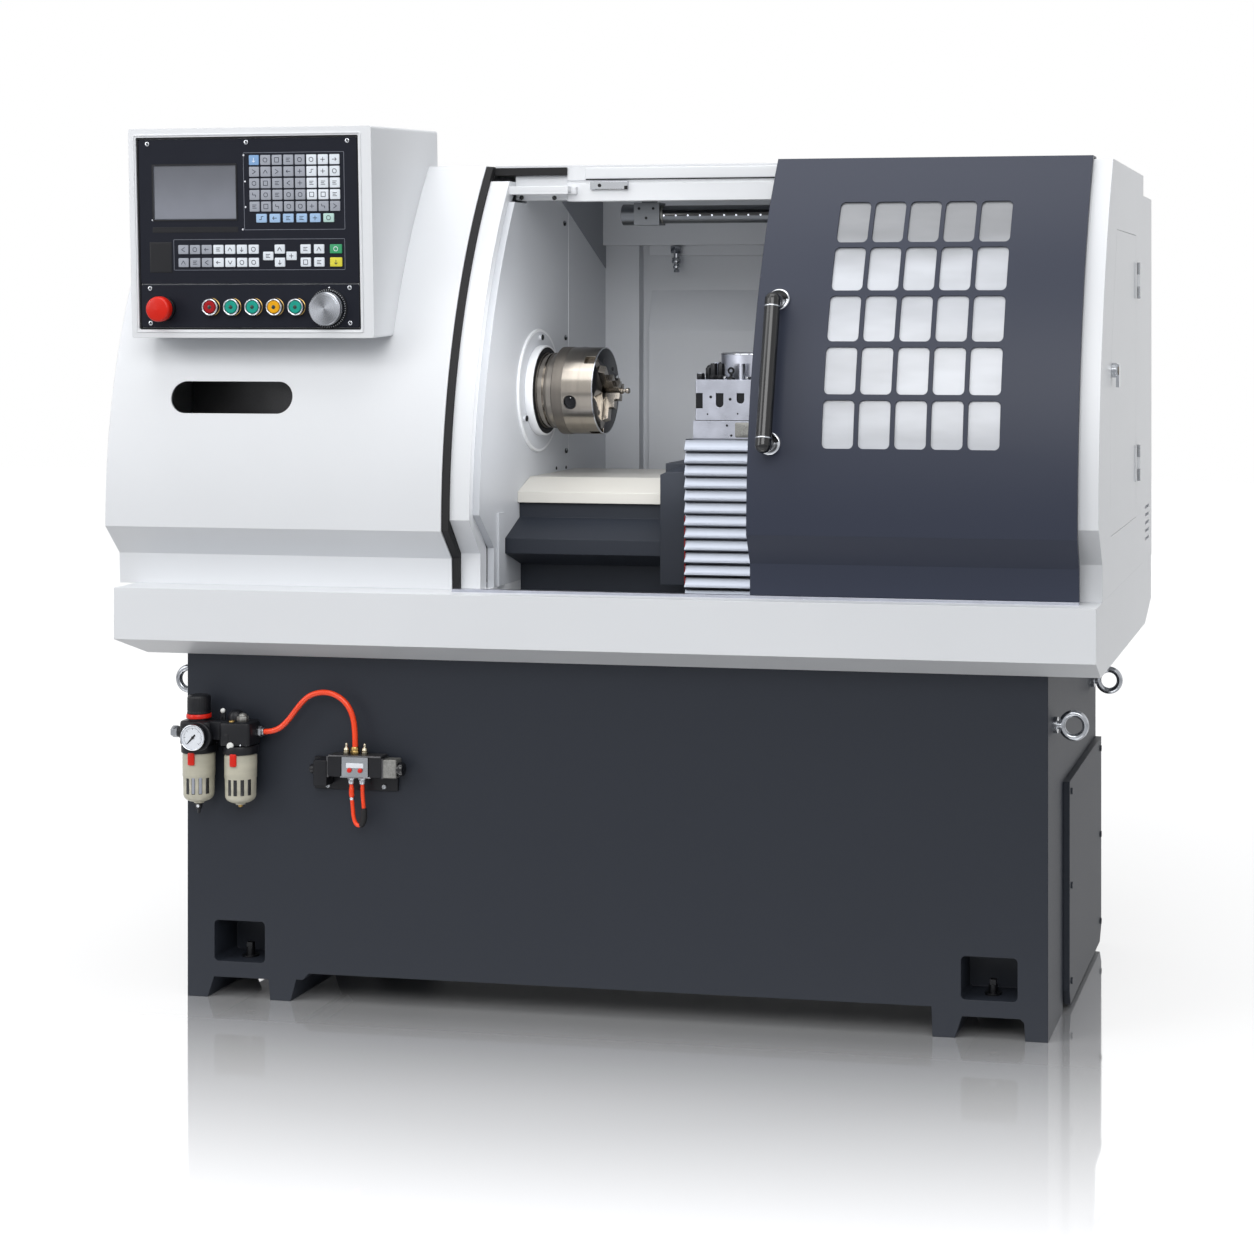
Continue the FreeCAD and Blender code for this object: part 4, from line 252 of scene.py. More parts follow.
finishes = {
    "whiteCoat": powderCoat("paleGreyPowderCoat", "#e2e4e7", peelMm=2.6, rough=0.34),
    "wallCoat": powderCoat("paleGreyCoatChamber", "#c6c9ce", peelMm=2.6, rough=0.4),
    # a darker copy of the wall's coat, used only for a painted shadow on the wall
    "wallShadowCoat": powderCoat("greyCoatPaintedShadow", "#83878e", peelMm=2.6, rough=0.4),
    "slateCoat": powderCoat("slatePowderCoat", "#303544", peelMm=2.4, rough=0.38, drift=0.03, sheen=0.25),
    "charcoalCoat": powderCoat("charcoalTexturedCoat", "#262a32", peelMm=1.6, peelDepth=0.05, rough=0.5,
                               edgeMm=2.5, fleck=0.12, sheen=0.25),
    "creamCoat": powderCoat("creamEnamel", "#c3c1bb", peelMm=3.0, rough=0.3),
    "castIron": drawnMetal("machinedCastIron", "#5a5a5c", grainMm=2.0, rough=0.45, contrast=0.14),
    "castGrey": drawnMetal("sandCastAluminium", "#82827f", grainMm=3.0, rough=0.55, contrast=0.4),
    "turnedSteel": turnedSteel("turnedSteel", "#9a948c", spindleAxis, rough=0.18),
    "mattSteel": turnedSteel("mattTurnedSteel", "#77726c", spindleAxis, rough=0.42, contrast=0.08),
    # a darker copy of turned steel: a painted dark reflection on the chuck's face
    "paintedReflectionSteel": turnedSteel("darkReflectionChuckFace", "#3a3c41", spindleAxis, rough=0.38, contrast=0.1),
    "groundSteel": drawnMetal("groundSteel", "#b4b7c2", grain=(0.12, 1.0, 1.0), rough=0.32),
    "blackOxide": drawnMetal("blackOxideSteel", "#1b1c1f", grainMm=1.2, rough=0.34, metallic=0.6),
    "zinc": drawnMetal("zincPlate", "#94979b", grainMm=1.5, rough=0.26, smear=0.06),
    "nickel": drawnMetal("nickelPlatedBrass", "#aca592", grainMm=1.2, rough=0.24),
    "brass": drawnMetal("turnedBrass", "#9c8250", grainMm=1.2, rough=0.28),
    "chrome": drawnMetal("polishedChrome", "#bcbfc4", grainMm=0.6, rough=0.1, contrast=0.03, edgeMm=0.4),
    "chromeDull": drawnMetal("brightZincRing", "#9da0a5", grainMm=1.0, rough=0.18),
    "slatAluminium": drawnMetal("drawnAluminiumSlat", "#8d929c", grain=(0.05, 1.0, 1.0), grainMm=0.9,
                                rough=0.33, contrast=0.05, steps=(slatTop, slatPitch, slatPaintedShade)),
    "tubeAluminium": drawnMetal("anodisedLampTube", "#6b6e72", grain=(0.05, 1.0, 1.0), rough=0.35),
    # the fans on the dial are a painted highlight
    "dialFace": turnedSteel("spunAluminiumDial", "#a2a5ab", (-490.5, 0, 1262), pitchMm=0.9, rough=0.25,
                            contrast=0.06, axis=1, paintedFan=0.42),
    "blackPlastic": moulded("blackMouldedPlastic", "#15161a", rough=0.36, sheen=0.25),
    "glossBlack": moulded("blackGlossEnamel", "#101114", grainMm=3.0, rough=0.14, sheen=0.5),
    "panelPlastic": moulded("panelFilm", "#20222a", grainMm=0.7, rough=0.42, drift=0.03, sheen=0.08),
    "rubber": moulded("blackRubber", "#131315", grainMm=1.4, rough=0.62, ior=1.52, sheen=0.3),
    "redPlastic": moulded("redMouldedPlastic", "#d4200f", rough=0.28, sheen=0.3),
    "darkRedPlastic": moulded("darkRedButtonCap", "#a00c14", rough=0.22, sheen=0.3),
    "greenPlastic": moulded("tealGreenPlastic", "#149a88", rough=0.3, sheen=0.3),
    "yellowPlastic": moulded("yellowPlastic", "#eaa80f", rough=0.3, sheen=0.3),
    "orangeHose": moulded("orangePolyurethane", "#fa4412", grainMm=2.0, rough=0.24, sheen=0.5),
    # the screen's fade is a painted reflection, paler towards its lower edge
    "screenGlass": moulded("displayGlass", "#72757e", grainMm=0.8, depth=0.004, rough=0.16, drift=0.03,
                           fade=(1424, 1520, 1.25, 0.72)),
    "keyGrey": moulded("greyKeyCap", "#9a9ea8", rough=0.38, drift=0.04),
    "keyWhite": moulded("whiteKeyCap", "#dde3ea", rough=0.36, drift=0.04),
    "keyBlue": moulded("blueKeyCap", "#7ea4cf", rough=0.36, drift=0.04),
    "keyPaleBlue": moulded("paleBlueKeyCap", "#9dbbdc", rough=0.36, drift=0.04),
    "keyMint": moulded("mintKeyCap", "#b4d3cd", rough=0.36, drift=0.04),
    "keyGreen": moulded("greenKeyCap", "#2f9462", rough=0.36, drift=0.04),
    "keyYellow": moulded("yellowKeyCap", "#d9cf3e", rough=0.36, drift=0.04),
    "markDark": moulded("darkKeyPrint", "#2c313c", rough=0.5, sheen=0.3),
    "markPale": moulded("paleKeyPrint", "#e6ebf2", rough=0.5),
    "lineGrey": moulded("panelOutlinePrint", "#6d717c", rough=0.45),
    "lensDark": moulded("darkLens", "#20302c", rough=0.18),
    "dialWhite": moulded("printedDialEnamel", "#e4e8ee", rough=0.3, drift=0.02),
    "whitePlastic": moulded("whiteNylonPlug", "#dfe0dd", rough=0.3),
    # the window's fade is painted shade, darker towards its upper edge
    "acrylic": clearSheet("castAcrylic", "#dfe2e8", 0.86, fade=(1330, 1400, 1.0, 0.42)),
    "bowlPlastic": clearSheet("smokedPolycarbonate", "#cdc9b6", 0.94, rough=0.2, streakMm=20.0),
    "diode": litDiode("whiteDiode", "#f4f6ff", 1.0),
}
print("finishes made:", len(finishes))

nodeFinish = {
    "whiteCoat": ["chip_tray", "headstock_cover", "left_jamb", "roof", "header_rail", "right_cover",
                  "side_door", "rear_cabinet", "control_box"],
    "wallCoat": ["spindle_wall", "spindle_flange", "rear_wall", "wall_strip"],
    "slateCoat": ["door_panel"],
    "charcoalCoat": ["base_frame", "base_side_cover", "bed", "carriage", "tailstock_body"],
    "creamCoat": ["bed_way_cover"],
    "castIron": ["headstock"],
    "blackOxide": ["levelling_screws"],
    "turnedSteel": ["spindle_shaft", "chuck_body", "jaw_1", "jaw_2", "jaw_3", "turned_pin",
                    "tailstock_quill"],
    "groundSteel": ["cross_slide", "turret_head", "door_track"],
    "chromeDull": ["eyebolts"],
    "zinc": ["side_door_hinges"],
    "chrome": ["coolant_tap", "side_door_latch", "tailstock_wheel", "button_rings"],
    "slatAluminium": ["slat_apron"],
    "dialFace": ["handwheel_dial"],
    "tubeAluminium": ["work_light"],
    "glossBlack": ["door_handle"],
    "blackPlastic": ["air_unit", "pressure_gauge", "regulator_knob", "solenoid_valve"],
    "panelPlastic": ["cnc_keyboard", "button_panel"],
    "rubber": ["cover_seal"],
    "redPlastic": ["stop_button"],
    "darkRedPlastic": ["push_button_1"],
    "greenPlastic": ["push_button_2", "push_button_3", "push_button_5"],
    "yellowPlastic": ["push_button_4"],
    "orangeHose": ["air_hose", "valve_hose"],
    "screenGlass": ["display_glass"],
    "acrylic": ["door_window"],
    "bowlPlastic": ["air_bowls"],
}
for finish, names in nodeFinish.items():
    for name in names:
        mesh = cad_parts[name].data
        mesh.materials.clear()
        mesh.materials.append(finishes[finish])
print("nodes painted:", sum(len(names) for names in nodeFinish.values()))


def setCamera():
    # a level view camera, turned 10.6 degrees to the left, whose window is shifted down and left
    settings = {"place": (1374.134, -4172.566, 1245.0), "turn": 10.634, "focal": 2450 / 1254 * 36,
                "shift": ((627 - 930) / 1254, -(627 - 318) / 1254)}
    data = bpy.data.cameras.new("viewCamera")
    data.sensor_width = 36
    data.lens = settings["focal"]
    data.shift_x, data.shift_y = settings["shift"]
    data.clip_end = 60
    camera = bpy.data.objects.new("viewCamera", data)
    camera.location = toFrame(settings["place"])
    camera.rotation_euler = (math.pi / 2, 0, math.radians(settings["turn"]))
    bpy.context.scene.collection.objects.link(camera)
    bpy.context.scene.camera = camera


def addSoftbox(name, place, target, size, power, mirrored):
    # a flat white studio lamp that the camera doesn't see, and that polished metal needn't mirror
    data = bpy.data.lights.new(name, "AREA")
    data.shape = "RECTANGLE"
    data.size, data.size_y = size
    data.energy = power
    lamp = bpy.data.objects.new(name, data)
    lamp.location = place
    lamp.rotation_euler = (Vector(target) - Vector(place)).to_track_quat("-Z", "Y").to_euler()
    lamp.visible_camera = False
    lamp.visible_glossy = mirrored
    bpy.context.scene.collection.objects.link(lamp)


def setStage():
    # a white surround and a pale polished floor: the surround is dim to the machine and white to the
    # camera, glass and metal; the floor mirrors near the machine and fades to white towards the camera
    settings = {"ambient": 0.45, "mirrored": 1.0, "floorShade": "#f4f4f5", "floorBounce": "#3c3d40",
                "mirror": 0.78, "fadeStart": -0.45, "fadeEnd": -1.75, "glowNear": 0.25, "glowFar": 0.9,
                "floorReach": 14.0}
    world = bpy.data.worlds.new("studio")
    bpy.context.scene.world = world
    world.use_nodes = True
    tree = world.node_tree
    tree.nodes.clear()
    ray = addNode(tree, "ShaderNodeLightPath")
    direct = addNode(tree, "ShaderNodeMath", {0: (ray, "Is Camera Ray"), 1: (ray, "Is Transmission Ray")},
                     operation="MAXIMUM")
    soft = addNode(tree, "ShaderNodeBackground", {"Color": tint("#f1f4f8"), "Strength": settings["ambient"]})
    white = addNode(tree, "ShaderNodeBackground", {"Color": tint("#ffffff"), "Strength": 1.0})
    mirrored = addNode(tree, "ShaderNodeBackground", {"Color": tint("#ffffff"),
                                                      "Strength": settings["mirrored"]})
    glint = addNode(tree, "ShaderNodeMixShader", {0: (ray, "Is Glossy Ray"), 1: (soft, 0), 2: (mirrored, 0)})
    both = addNode(tree, "ShaderNodeMixShader", {0: (direct, 0), 1: (glint, 0), 2: (white, 0)})
    addNode(tree, "ShaderNodeOutputWorld", {"Surface": (both, 0)})

    made, tree, where = startMaterial("polishedPaleFloor")
    split = addNode(tree, "ShaderNodeSeparateXYZ", {0: (where, "Object")})
    fade = addNode(tree, "ShaderNodeMapRange", {0: (split, 1), 1: settings["fadeEnd"],
                                                2: settings["fadeStart"], 3: 0.0, 4: settings["mirror"]})
    ray = addNode(tree, "ShaderNodeLightPath")
    cloud = addNode(tree, "ShaderNodeTexNoise", {"Vector": (where, "Object"), "Scale": 3.0})
    gloss = addNode(tree, "ShaderNodeMapRange", {0: (cloud, 0), 3: 0.03, 4: 0.06})
    matt = addNode(tree, "ShaderNodeBsdfDiffuse", {"Color": tint(settings["floorShade"])})
    # the floor's glow grows away from the machine and is multiplied by ambient occlusion: a painted contact
    # shade under and beside it
    reach = addNode(tree, "ShaderNodeVectorMath", {0: (where, "Object")}, operation="LENGTH")
    lift = addNode(tree, "ShaderNodeMapRange", {0: (reach, 1), 1: 1.0, 2: 3.2, 3: settings["glowNear"],
                                                4: settings["glowFar"]})
    occlusion = addNode(tree, "ShaderNodeAmbientOcclusion", {"Distance": 0.5}, samples=8)
    paintedContactShade = addNode(tree, "ShaderNodeMath", {0: (occlusion, 1), 1: 2.0}, operation="POWER")
    lift = addNode(tree, "ShaderNodeMath", {0: (lift, 0), 1: (paintedContactShade, 0)}, operation="MULTIPLY")
    glow = addNode(tree, "ShaderNodeEmission", {"Color": tint("#ffffff"), "Strength": (lift, 0)})
    lifted = addNode(tree, "ShaderNodeAddShader", {0: (matt, 0), 1: (glow, 0)})
    direct = addNode(tree, "ShaderNodeMath", {0: (ray, "Is Camera Ray"), 1: (ray, "Is Transmission Ray")},
                     operation="MAXIMUM")
    dim = addNode(tree, "ShaderNodeBsdfDiffuse", {"Color": tint(settings["floorBounce"])})
    glint = addNode(tree, "ShaderNodeMixShader", {0: (ray, "Is Glossy Ray"), 1: (dim, 0), 2: (matt, 0)})
    chosen = addNode(tree, "ShaderNodeMixShader", {0: (direct, 0), 1: (glint, 0), 2: (lifted, 0)})
    mirror = addNode(tree, "ShaderNodeBsdfGlossy", {"Color": tint("#ffffff"), "Roughness": (gloss, 0)})
    floorMix = addNode(tree, "ShaderNodeMixShader", {0: (fade, 0), 1: (chosen, 0), 2: (mirror, 0)})
    endMaterial(made, tree, floorMix)
    mesh = bpy.data.meshes.new("floor")
    corners = [(x * settings["floorReach"], y * settings["floorReach"], 0)
               for x, y in ((-1, -1), (1, -1), (1, 1), (-1, 1))]
    mesh.from_pydata(corners, [], [(0, 1, 2, 3)])
    mesh.materials.append(made)
    floor = bpy.data.objects.new("floor", mesh)
    bpy.context.scene.collection.objects.link(floor)
    for lamp in (
            # name, place and aim in metres, width and height, watts, seen in polished metal
            ("keyLight", (0.9, -5.0, 3.6), (0, 0, 0.9), (3.6, 2.4), 128, True),
            ("fillLight", (-3.8, -3.2, 2.4), (0, 0, 0.8), (2.2, 2.6), 55, True),
            ("topLight", (0.0, -1.2, 4.8), (0, 0, 1.0), (3.4, 2.4), 66, True),
            ("sideLight", (4.4, 0.6, 2.2), (0.4, 0, 0.8), (1.4, 2.6), 10, True),
            ("chamberLight", (0.03, -0.37, 1.12), (-0.28, 0.3, 1.05), (0.4, 0.4), 1.1, False),
            ("edgeLight", (-1.2, -2.3, 3.3), (-0.15, -0.1, 1.1), (1.2, 1.6), 15, True)):
        addSoftbox(*lamp)
    bpy.context.scene.view_settings.view_transform = "Standard"


setCamera()
setStage()
print("camera and studio set")


def addHose(name, route, diameterMm, replaced):
    # a smooth line through the drop and bends of the hose, drawn as one round tube
    curve = bpy.data.curves.new(name, "CURVE")
    curve.dimensions = "3D"
    curve.bevel_depth = diameterMm / 2000
    curve.bevel_resolution = 6
    curve.resolution_u = 16
    curve.use_fill_caps = True
    line = curve.splines.new("NURBS")
    line.points.add(len(route) - 1)
    places = toFrame([(x, hosePlane, z) for x, z in route])
    line.points.foreach_set("co", np.hstack([places, np.ones((len(route), 1))]).ravel())
    line.order_u = 3
    line.use_endpoint_u = True
    curve.materials.append(finishes["orangeHose"])
    hose = bpy.data.objects.new(name, curve)
    bpy.context.scene.collection.objects.link(hose)
    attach(hose, "machine")
    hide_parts(replaced)
    return hose


hoseRoutes = {"air": [(-634.5, 494.3), (-618.5, 494.3), (-593.8, 507.4), (-557.7, 555.4), (-534.7, 567.6),
                      (-508.8, 569.4), (-484.7, 559.6), (-467.3, 540.3), (-458.4, 509.3), (-458.4, 472.0)],
              "valve": [(-465.5, 406), (-465.5, 386), (-463, 362), (-461.5, 344), (-456, 331), (-446, 331),
                        (-441, 344), (-442, 364), (-444.5, 388), (-444.5, 406)],}
hoseSizes = {"air": (10.0, 268.0), "valve": (7.0, 159.0)}  # diameter and length along the route, in mm
hoses = {"air": addHose("airHose", hoseRoutes["air"], hoseSizes["air"][0], "air_hose"),
         "valve": addHose("valveHose", hoseRoutes["valve"], hoseSizes["valve"][0], "valve_hose")}
print("hoses laid")


def gridFaces(rows, columns, closed=False):
    # quads between neighbours of a grid: its columns always run round, its rows too when closed
    i, j = np.meshgrid(np.arange(rows if closed else rows - 1), np.arange(columns), indexing="ij")
    down, on = (i + 1) % rows, (j + 1) % columns
    return np.stack([i * columns + j, i * columns + on, down * columns + on, down * columns + j],
                    -1).reshape(-1, 4)


def lathed(profile, count=40, closed=False, flutes=(0, 1e9, 0.0)):
    # (r cos a, r sin a, h) for each profile point (r, h) and angle a; where r is past the start of
    # the flutes, their depth times cos(number a) is added to r
    profile = np.asarray(profile, float)
    number, start, depth = flutes
    a = np.linspace(0, 2 * np.pi, count, endpoint=False)
    r = profile[:, :1] + np.where(profile[:, :1] > start, depth, 0.0) * np.cos(number * a)
    points = np.stack([r * np.cos(a), r * np.sin(a), np.repeat(profile[:, 1:], count, 1)], -1)
    return points.reshape(-1, 3), gridFaces(len(profile), count, closed)


def roundOutline(width, height, radius, steps=5):
    # rounded rectangle about the middle: four corner arcs joined by straight sides
    a = np.linspace(0, np.pi / 2, steps)
    turn = np.arange(4)[:, None] * np.pi / 2
    cornerX = np.array([1, -1, -1, 1])[:, None] * (width / 2 - radius)
    cornerY = np.array([1, 1, -1, -1])[:, None] * (height / 2 - radius)
    return np.stack([cornerX + radius * np.cos(a + turn), cornerY + radius * np.sin(a + turn)],
                    -1).reshape(-1, 2)


def stacked(outlines, rises):
    # level outlines one above another, the first and last drawn in to their middle points
    ends = [np.tile(outline.mean(0), (len(outline), 1)) for outline in (outlines[0], outlines[-1])]
    layers = [ends[0], *outlines, ends[1]]
    rises = [rises[0], *rises, rises[-1]]
    points = np.concatenate([np.column_stack([flat, np.full(len(flat), rise)]) for flat, rise in
                             zip(layers, rises)])
    return points, gridFaces(len(layers), len(ends[0]))


def tile(width, height, rings, radius, steps=5):
    # a lid-like block: a rounded outline for each (inset, rise), closed at the middle
    outlines = [roundOutline(width - 2 * inset, height - 2 * inset, max(radius - inset, 0.02), steps)
                for inset, rise in rings]
    return stacked(outlines, [rise for inset, rise in rings])


def drawnIn(outline, inset):
    # each point moved by the inset towards the outline's middle
    middle = outline.mean(0)
    away = outline - middle
    return middle + away * (1 - inset / np.linalg.norm(away, axis=1, keepdims=True))


def slab(outline, low, high, edge=0.0):
    # one outline carried from low to high, its upper rim drawn in by a small edge
    outline = np.asarray(outline, float)
    return stacked([outline, outline, drawnIn(outline, edge)], [low, high - edge, high])


def hexOutline(across, count=36):
    # six flats whose corners are turned off a little: the smaller of the flat's and a circle's reach
    a = np.linspace(0, 2 * np.pi, count, endpoint=False)
    flat = across / 2 / np.cos((a + np.pi / 6) % (np.pi / 3) - np.pi / 6)
    reach = np.minimum(flat, across / 2 * 1.13)
    return np.column_stack([reach * np.cos(a), reach * np.sin(a)])


def hexNut(across, height):
    # the hexagon stacked with both rims turned down
    outline = hexOutline(across)
    return stacked([outline * 0.92, outline, outline, outline * 0.92],
                   [0, height * 0.12, height * 0.88, height])


def screwHead(radius, rise, socket=0.55):
    # cheese head with a soft rim and a socket sunk into it
    r, h, s = radius, rise, radius * socket
    return lathed([(0, 0), (r, 0), (r, h * 0.6), (r * 0.93, h * 0.9), (r * 0.82, h), (s, h),
                   (s * 0.96, h * 0.45), (0, h * 0.4)], 20)


def domeHead(radius, rise):
    # quarter of an ellipse turned round, on a short straight rim
    a = np.linspace(0, np.pi / 2, 6)
    arc = np.column_stack([radius * np.cos(a), rise * 0.25 + rise * 0.75 * np.sin(a)])
    return lathed([(0, 0), (radius, 0)] + arc.tolist(), 20)


def wrapOnto(shape, radius, degrees):
    # a flat shape bent round an upright line: x becomes an angle x / radius, rise goes outwards, y goes up
    points, faces = shape
    a = points[:, 0] / radius + math.radians(degrees) - np.pi / 2
    r = radius + points[:, 2]
    return np.column_stack([r * np.cos(a), r * np.sin(a), points[:, 1]]), faces


def strokes(ends, half, low, high):
    # a thin bar between each pair of ends, half is its half width
    ends = np.asarray(ends, float).reshape(-1, 2, 2)
    way = ends[:, 1] - ends[:, 0]
    length = np.linalg.norm(way, axis=1, keepdims=True)
    side = np.stack([-way[:, 1], way[:, 0]], 1) / length * half
    flat = np.stack([ends[:, 0] - side, ends[:, 1] - side, ends[:, 1] + side, ends[:, 0] + side], 1)
    points = np.concatenate([np.concatenate([flat, np.full(flat.shape[:2] + (1,), rise)], -1)
                             for rise in (low, high)], 1).reshape(-1, 3)
    block = np.array([[3, 2, 1, 0], [4, 5, 6, 7], [0, 1, 5, 4], [1, 2, 6, 5], [2, 3, 7, 6], [3, 0, 4, 7]])
    return points, (block[None] + (np.arange(len(ends)) * 8)[:, None, None]).reshape(-1, 4)


def barBetween(low, high, edge=0.8, radius=1.5):
    # a block between two corners, stacked from rounded outlines with its rims drawn in
    low, high = np.asarray(low, float), np.asarray(high, float)
    width, depth = (high - low)[:2]
    middle = (low + high) / 2
    shape = tile(width, depth, [(edge, low[2]), (0, low[2] + edge), (0, high[2] - edge), (edge, high[2])],
                 radius, 4)
    return spread(shape, [(middle[0], middle[1], 0)])


# rows say where a shape's own across, along and up directions go
facing = {
    "down": np.array([[1, 0, 0], [0, -1, 0], [0, 0, -1.0]]),
    "front": np.array([[1, 0, 0], [0, 0, 1], [0, -1, 0.0]]),
    "rear": np.array([[-1, 0, 0], [0, 0, 1], [0, 1, 0.0]]),
    "right": np.array([[0, 1, 0], [0, 0, 1], [1, 0, 0.0]]),
    "left": np.array([[0, -1, 0], [0, 0, 1], [-1, 0, 0.0]]),
}


def rolled(way, degrees):
    # a facing after a turn about the shape's own up direction
    c, s = math.cos(math.radians(degrees)), math.sin(math.radians(degrees))
    return np.array([[c, s, 0], [-s, c, 0], [0, 0, 1]]) @ facing[way]


def turnTo(shape, way):
    # the shape's own up direction pointed the named way
    points, faces = shape
    return points @ (facing[way] if isinstance(way, str) else way), faces


def spread(shape, places, scales=None):
    # copies of one shape at many places, as whole arrays
    points, faces = shape
    places = np.asarray(places, float)
    sized = points[None] * (1.0 if scales is None else np.asarray(scales, float)[:, None, :])
    moved = (sized + places[:, None]).reshape(-1, 3)
    many = (faces[None] + (np.arange(len(places)) * len(points))[:, None, None]).reshape(-1, faces.shape[1])
    return moved, many


def aroundX(shape, degrees, middle):
    # copies turned by each angle about a line through the middle that runs across the machine
    points, faces = shape
    made = []
    for angle in degrees:
        c, s = math.cos(math.radians(angle)), math.sin(math.radians(angle))
        made.append((points @ np.array([[1, 0, 0], [0, c, s], [0, -s, c]]) + middle, faces))
    return join(*made)


def join(*shapes):
    # several shapes as one, their faces renumbered
    points, faces, count = [], [], 0
    for spots, quads in shapes:
        points.append(spots)
        faces.append(quads + count)
        count += len(spots)
    return np.concatenate(points), np.concatenate(faces)


def onBox(points):
    # control box places: x along its front, y into it, z up its front, leaned back by its pitch
    x, y, z = np.moveaxis(np.asarray(points, float), -1, 0)
    lean = math.radians(2.4)
    return np.stack([x - 870, -68 + y * math.cos(lean) - z * math.sin(lean),
                     1209 + y * math.sin(lean) + z * math.cos(lean)], -1)


def makePiece(name, shape, finish, body="machine", sharp=38, boxed=False, standsFor=()):
    # a mesh in the part's frame, its doubled points merged and its faces turned outwards
    points, faces = shape
    if boxed:
        points = onBox(points)
    mesh = bpy.data.meshes.new(name)
    mesh.from_pydata(toFrame(points).tolist(), [], faces.tolist())
    work = bmesh.new()
    work.from_mesh(mesh)
    bmesh.ops.remove_doubles(work, verts=work.verts, dist=2e-6)
    bmesh.ops.dissolve_degenerate(work, edges=work.edges, dist=1e-6)
    bmesh.ops.recalc_face_normals(work, faces=work.faces)
    work.to_mesh(mesh)
    work.free()
    mesh.shade_smooth()
    mesh.set_sharp_from_angle(angle=math.radians(sharp))
    mesh.materials.append(finishes[finish])
    made = bpy.data.objects.new(name, mesh)
    bpy.context.scene.collection.objects.link(made)
    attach(made, body)
    if standsFor:
        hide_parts(*standsFor)
    return made


def softKeys():
    # every key is a low domed cap over the solid one; short strokes stand on it as plain key marks
    key = {"rise": 1.3, "corner": 1.6, "dome": 0.25, "stroke": 0.55, "sign": 4.0}
    blocks = {
        # finish: (left, low, pitch x, pitch z, columns, rows, width, height)
        "keyGrey": [(232.6, 247.8, 22.0, 20.8, 5, 3, 19.0, 18.0),
                    (254.6, 310.2, 22.0, 20.8, 4, 1, 19.0, 18.0),
                    (232.6, 227.0, 22.0, 20.8, 8, 1, 19.0, 18.0),
                    (92.6, 127.8, 22.7, 23.5, 3, 2, 19.6, 16.4)],
        "keyWhite": [(342.6, 247.8, 22.0, 20.8, 3, 4, 19.0, 18.0),
                     (160.7, 127.8, 22.7, 23.5, 4, 2, 19.6, 16.4),
                     (328.4, 127.8, 25.8, 23.5, 2, 2, 19.6, 16.4),
                     (256.6, 139.6, 44.8, 1, 2, 1, 19.6, 15.4),
                     (279.0, 127.8, 1, 23.5, 1, 2, 19.6, 16.4)],
        "keyBlue": [(232.6, 310.2, 22.0, 20.8, 1, 1, 19.0, 18.0)],
        "keyPaleBlue": [(244.8, 207.2, 25.7, 1, 5, 1, 20.2, 15.6)],
        "keyMint": [(373.3, 207.2, 25.7, 1, 1, 1, 20.2, 15.6)],
        "keyGreen": [(384.6, 151.3, 1, 1, 1, 1, 23.0, 16.4)],
        "keyYellow": [(384.6, 127.8, 1, 1, 1, 1, 23.0, 16.4)],
    }
    marks = []
    for finish, groups in blocks.items():
        caps = []
        for left, low, pitchX, pitchZ, columns, rows, width, height in groups:
            i, j = np.meshgrid(np.arange(columns), np.arange(rows))
            middle = np.column_stack([left + width / 2 + pitchX * i.ravel(), np.full(i.size, 3.2),
                                      low + height / 2 + pitchZ * j.ravel()])
            top = key["rise"] + 0.62
            rings = [(0, 0), (0, key["rise"]), (0.3, key["rise"] + 0.5), (1.2, top), (5, top + key["dome"])]
            cap = turnTo(tile(width, height, rings, key["corner"], 4), "front")
            caps.append(spread(cap, middle))
            marks += [(spot, finish) for spot in middle]
        makePiece(finish + "Caps", join(*caps), finish, boxed=True)
    signs = [
        # ends of short strokes in a cell one unit wide, a different plain sign in each row
        [(-1, -1, 1, -1), (1, -1, 1, 1), (1, 1, -1, 1), (-1, 1, -1, -1)],
        [(-1, 0, 1, 0), (1, 0, 0.3, 0.7), (1, 0, 0.3, -0.7)],
        [(-1, 0, 1, 0), (0, -1, 0, 1)],
        [(-1, 0.7, 1, 0.7), (-1, 0, 0.5, 0), (-1, -0.7, 1, -0.7)],
        [(-1, -0.8, 0, 0.8), (0, 0.8, 1, -0.8)],
        [(-1, -0.8, 0, -0.8), (0, -0.8, 0, 0.6), (0, 0.6, 1, 0.6)],
        [(-0.9, -0.4, -0.4, -0.9), (-0.4, -0.9, 0.5, -0.9), (0.5, -0.9, 0.9, -0.4), (0.9, -0.4, 0.9, 0.4),
         (0.9, 0.4, 0.4, 0.9), (0.4, 0.9, -0.5, 0.9), (-0.5, 0.9, -0.9, 0.4), (-0.9, 0.4, -0.9, -0.4)],
    ]
    random = np.random.default_rng(4)
    pale = ("keyBlue", "keyGreen")
    for tone, wanted in (("markDark", [f for f in blocks if f not in pale]), ("markPale", pale)):
        ends = []
        for spot, finish in marks:
            if finish not in wanted:
                continue
            sign = random.integers(len(signs))
            turn = random.integers(4) * np.pi / 2 if sign in (1, 4, 5) else 0.0
            spin = np.array([[np.cos(turn), -np.sin(turn)], [np.sin(turn), np.cos(turn)]])
            cell = np.array(signs[sign], float).reshape(-1, 2, 2) * key["sign"]
            ends.append(cell @ spin.T + spot[[0, 2]])
        points, faces = strokes(np.concatenate(ends), key["stroke"], 1.95, 2.3)
        points = np.stack([points[:, 0], 3.2 - points[:, 2], points[:, 1]], -1)
        makePiece(tone + "Strokes", (points, faces), tone, boxed=True)


